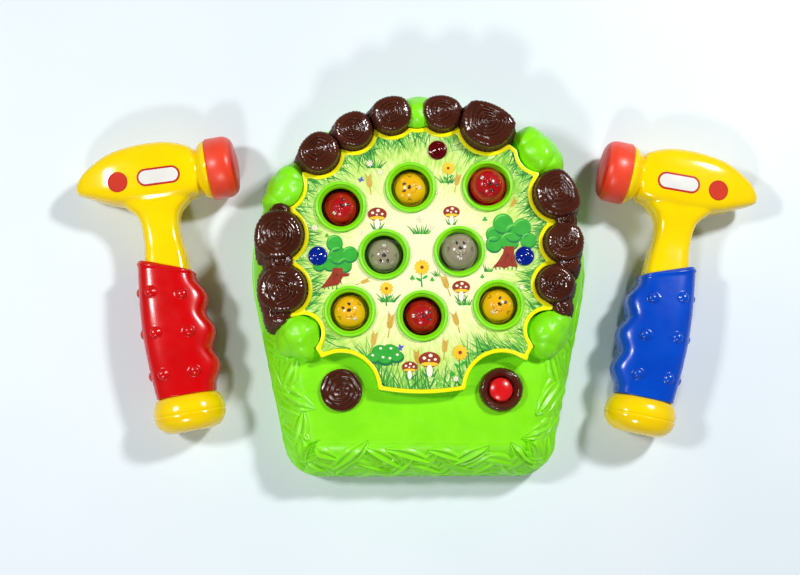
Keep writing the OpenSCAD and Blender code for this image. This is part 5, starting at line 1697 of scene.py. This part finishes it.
# %% [markdown]
# ### Plugs and label
# The red plugs cover the shell screws, one on each side of the head. A flat turned disc would cut
# into the curved head, so the rings of a plug are dropped on it by rays. The white label is a bare
# pill-shaped sticker with a red edge, and is laid on the head in the same way.

# %% Plugs
ABOVE_HEAD = 60
head_tree = BVHTree.FromPolygons([Vector(p) for p in shell_mesh[0]], shell_mesh[1])


def on_head(x, y, lift):
    """Point on the head's upper face, standing off it by lift."""
    hit, normal, _, _ = head_tree.ray_cast(Vector((x, y, ABOVE_HEAD)), Vector((0, 0, -1)))
    return hit + normal * lift


PLUG_R, PLUG_AT = 6.8, (-21.0, -4.2)
plug_profile = [(PLUG_R - 0.3, -2.0), (PLUG_R, -0.5), (PLUG_R, 0.2), (PLUG_R - 0.25, 0.4),
                (PLUG_R - 0.8, 0.45), (PLUG_R - 1.3, 0.35), (PLUG_R - 2.0, 0.35), (2.5, 0.35), (0.2, 0.35)]
plug_rings = [[on_head(x, y, lift) for x, y, _ in circle(*PLUG_AT, r, 0, 56)] for r, lift in plug_profile]
plug_up = loft(plug_rings, cap_first=True, cap_last=True)
plug_down = moved(plug_up, Matrix.Scale(-1, 4, (0, 0, 1)))
on_mallets("plugs_turned", [plug_up, plug_down], "plug_red", "plugs", sharp=50)
print("plug rings:", len(plug_rings))

# %% Bare label
LABEL_AT, LABEL_SIZE, LABEL_TURN = (6.5, -4.8), (28.0, 11.0), math.radians(-2)
LABEL_AROUND, LABEL_FOOT = 80, -0.05
LABEL_SHARES = (1.0, 1.0, 0.985, 0.7, 0.35, 0.05)


def pill(grow, thick):
    """A pill-shaped sticker, larger all round by grow, standing off the head by thick."""
    half, end = (LABEL_SIZE[0] - LABEL_SIZE[1]) / 2, LABEL_SIZE[1] / 2 + grow
    rings = []
    for share in LABEL_SHARES:
        lift = thick if rings else LABEL_FOOT
        ring = []
        for a in round_turns(LABEL_AROUND):
            u = (math.copysign(half, math.cos(a)) + end * math.cos(a)) * share
            u, v = turned(u, end * math.sin(a) * share, LABEL_TURN)
            ring.append(on_head(LABEL_AT[0] + u, LABEL_AT[1] + v, lift))
        rings.append(ring)
    return loft(rings, cap_last=True)


on_mallets("label_edge", [pill(0.5, 0.12)], "plug_red", finish=FINISH["label_ring"])
on_mallets("label_face", [pill(-0.9, 0.2)], "gear_white")
print("labels:", len(MALLETS), "left bare")

# %% [markdown]
# ### Grip sleeve
# The rubber sleeve swells in the middle, has three finger waves on the striking side and rows of
# round nubs. It is one grid wrapped round the handle, and each nub is a smooth bump of its
# radius; separate balls stuck on it would show hard seams.

# %% Grip surface
GRIP_TOP, GRIP_LOW, GRIP_SLANT, GRIP_HW, GRIP_BOXY = -58.0, -152.0, 12.0, 22.5, 0.58
WAVE_ROWS, WAVE_H, WAVE_HALF = (0.22, 0.51, 0.8), 4.0, 0.14
NUB_ROWS, NUB_TURNS = (0.22, 0.52, 0.83), (-104, -70, 0, 70, 104)
NUB_H, NUB_R, NUB_FOOT = 2.5, 3.5, 1.15


def sleeve_point(turn, t, swell=0.0):
    """Point on the smooth sleeve; t runs from 0 at its upper edge to 1 at its lower one."""
    px, py = boxed(math.cos(turn), GRIP_BOXY), boxed(math.sin(turn), GRIP_BOXY)
    half = GRIP_HW - 4.8 + 2 * t + 3.3 * math.sin(math.pi * t)
    rise = 0.8 * (GRIP_HW - 3 + 3 * math.sin(math.pi * t))
    y = GRIP_LOW + (GRIP_TOP - GRIP_LOW) * (1 - t) - GRIP_SLANT * (1 - t) * (1 - px) / 2
    near = min(abs(t - row) for row in WAVE_ROWS)
    wave = smooth_step(-0.5, -0.98, px) * WAVE_H * math.cos(math.pi / 2 * min(near / WAVE_HALF, 1)) ** 1.5
    return Vector((-px * (half + wave + swell), y, py * (rise + swell)))


NUBS = [sleeve_point(math.radians(turn), row) for turn in NUB_TURNS for row in NUB_ROWS]


def grip_point(turn, t, swell):
    """Point on the sleeve with its nubs, each a round bump that stands off the surface."""
    p = sleeve_point(turn, t, swell)
    away = min((p - nub).length for nub in NUBS) / NUB_R
    if away < NUB_FOOT:
        out = Vector((p.x, 0, p.z)).normalized()
        p += out * NUB_H * max(math.sqrt(max(1 - away * away, 0.0)), 0.12 * smooth_step(NUB_FOOT, 0.9, away))
    return p


print("nubs:", len(NUBS))

# %% [markdown]
# A sleeve that just stopped would look like paper. A few more rings at each end turn its edge in
# towards the handle, and a low lip runs round below the upper edge.

# %% Grips
GRIP_AROUND, GRIP_ALONG = 190, 150
# Ends of the sleeve: how far a ring swells, and its shift along the handle
UPPER_END = ((-3.2, -4.0), (-3.2, -0.2), (-2.6, 0.2), (-1.6, 0.3), (-0.9, 0.15), (-0.25, -0.4))
LOWER_END = ((-0.2, 0.2), (-0.9, 0.05), (-3.0, 0.05))
LIP_H, LIP_AT, LIP_HALF = 0.7, 0.022, 0.014
FIRST_SHIFT = -0.6
GRIP_SLOTS = {"left": "grip_red", "right": "grip_blue"}


def grip_ring(t, swell, shift):
    """A ring of the sleeve, which runs round so that its faces look out."""
    turns = [(math.pi - a) % math.tau - math.pi for a in round_turns(GRIP_AROUND)]
    return [grip_point(a, t, swell) + Vector((0, shift, 0)) for a in turns]


sleeve_rings = [grip_ring(0.0, swell, shift) for swell, shift in UPPER_END]
for k in range(1, GRIP_ALONG):
    t = k / GRIP_ALONG
    lip = LIP_H * math.exp(-((t - LIP_AT) / LIP_HALF) ** 2)
    sleeve_rings.append(grip_ring(t, lip, FIRST_SHIFT if k == 1 else 0.0))
sleeve_rings += [grip_ring(1.0, swell, shift) for swell, shift in LOWER_END]
sleeve = loft(sleeve_rings, cap_last=True)
for side, slot in GRIP_SLOTS.items():
    make(f"{side}_grip_sleeve", [moved(sleeve, MALLETS[side])], slot, [f"{side}_grip"], f"{side}_mallet",
         sharp=60)
print("sleeve points:", len(sleeve[0]))

# %% [markdown]
# ### End caps
# The end cap is a rounded yellow boss: a stack of ovals, each a share of the widest one. Its fine
# parting line is a pair of sections that stand in a little.

# %% End caps
BUTT_HW, BUTT_HT, BUTT_BOXY, BUTT_GAP = 24.0, 21.0, 0.92, 0.15
# Cap sections: place down from the sleeve, share of the full width
BUTT = ((0, 0.8), (0.5, 0.84), (1.5, 0.88), (3.5, 0.935), (6, 0.97), (8.5, 0.993), (10.5, 1.0), (11.6, 1.0),
        (12, 0.988), (12.5, 0.988), (12.9, 0.998), (15, 0.985), (17, 0.955), (19, 0.905), (21, 0.83),
        (22.5, 0.74), (23.5, 0.64), (23.9, 0.54), (24, 0.3))
butt_rings = []
for down, share in BUTT:
    butt_rings.append([(u, GRIP_LOW - BUTT_GAP - down, -v)
                       for u, v in oval(BUTT_HW * share, BUTT_HT * share, BUTT_BOXY, 96)])
on_mallets("end_cap", [loft(butt_rings, cap_first=True, cap_last=True)], "mallet_yellow", "butt", sharp=40)
print("end cap rings:", len(butt_rings))

# %% [markdown]
# ## Feet
# Four rubber feet carry the base. They are turned with a rounded foot and a shallow ring, as moulded
# rubber feet have.

# %% Feet
FRONT_FOOT_X, FRONT_FOOT_Y = CORNER_X - 6.5, CORNER_Y - 9.5
FEET = [spot(-73.7, 39), spot(73.7, 39), (-FRONT_FOOT_X, FRONT_FOOT_Y), (FRONT_FOOT_X, FRONT_FOOT_Y)]
foot_profile = [(0.3, 0.5), (3.4, 0.5), (3.8, 0.1), (4.2, 0.0), (6.2, 0.0), (6.8, 0.25), (7.0, 0.8),
                (7.0, 2.75), (0.3, 2.78)]
feet = [lathe(x, y, foot_profile, 56, cap_first=True, cap_last=True) for x, y in FEET]
make("rubber_feet_turned", feet, "foot_rubber", ["rubber_feet"], sharp=50)
print("feet:", len(feet))

# %% [markdown]
# ## Floor
# The set lies on a pale floor. It is part of the stage, not of the toy, and only has to catch the
# shadows, so one large face is enough.

# %% Floor
FLOOR_HALF = 3.0
floor_material, floor_tree, floor_shader = new_material("pale_floor")
floor_at = add_node(floor_tree, "TexCoord").outputs["Object"]
floor_tone = spread(floor_tree, noise_of(floor_tree, floor_at, 6.0), NOISE_LOW, NOISE_HIGH)
floor_colour = mix_colours(floor_tree, floor_tone, srgb(232, 240, 245), srgb(226, 236, 242))
feed(floor_tree, floor_shader["Base Color"], floor_colour)
feed(floor_tree, floor_shader["Roughness"], 0.5)
floor_mesh = bpy.data.meshes.new("floor")
floor_corners = [(FLOOR_HALF * x, FLOOR_HALF * y, 0) for x, y in ((-1, -1), (1, -1), (1, 1), (-1, 1))]
floor_mesh.from_pydata(floor_corners, [], [(0, 1, 2, 3)])
floor_mesh.materials.append(floor_material)
floor = bpy.data.objects.new("floor", floor_mesh)
bpy.context.scene.collection.objects.link(floor)
print("floor:", 2 * FLOOR_HALF, "m wide")

# %% [markdown]
# ## Light
# Three small soft lights give the window-like highlights that the moles and stumps show, and a
# dim world fills the shadows. The world is darker straight above, where the glossy dark tops
# would mirror it and turn grey. The plain view transform keeps the toy's colours as
# saturated as print shows them.

# %% Lights
LIGHT_AIM = Vector((0, 0, 0.03))
# Each light: place and size in metres, power in watts
LIGHTS = {"key_light": ((0.75, 0.6, 1.1), (0.16, 0.16), 13.5),
          "side_light": ((-0.85, 0.2, 1.1), (0.18, 0.16), 8.5),
          "fill_light": ((-0.25, -1.0, 1.1), (0.18, 0.14), 6)}
WORLD_STRENGTH = 0.2
for name, (at, size, power) in LIGHTS.items():
    data = bpy.data.lights.new(name, "AREA")
    data.shape = "RECTANGLE"
    data.size, data.size_y = size
    data.energy = power
    lamp = bpy.data.objects.new(name, data)
    aim = (LIGHT_AIM - Vector(at)).to_track_quat("-Z", "Y")
    lamp.matrix_world = Matrix.Translation(at) @ aim.to_matrix().to_4x4()
    bpy.context.scene.collection.objects.link(lamp)
world = bpy.data.worlds.new("studio")
world.use_nodes = True
sky = world.node_tree
sky_way = add_node(sky, "SeparateXYZ", Vector=add_node(sky, "TexCoord").outputs["Generated"])
sky_share = spread(sky, sky_way.outputs["Z"], 0.35, 0.95)
sky_colour = mix_colours(sky, sky_share, srgb(226, 238, 248), srgb(110, 120, 130))
feed(sky, sky.nodes["Background"].inputs["Color"], sky_colour)
feed(sky, sky.nodes["Background"].inputs["Strength"], WORLD_STRENGTH)
bpy.context.scene.world = world
bpy.context.scene.view_settings.view_transform = "Standard"
print("lights:", len(LIGHTS))
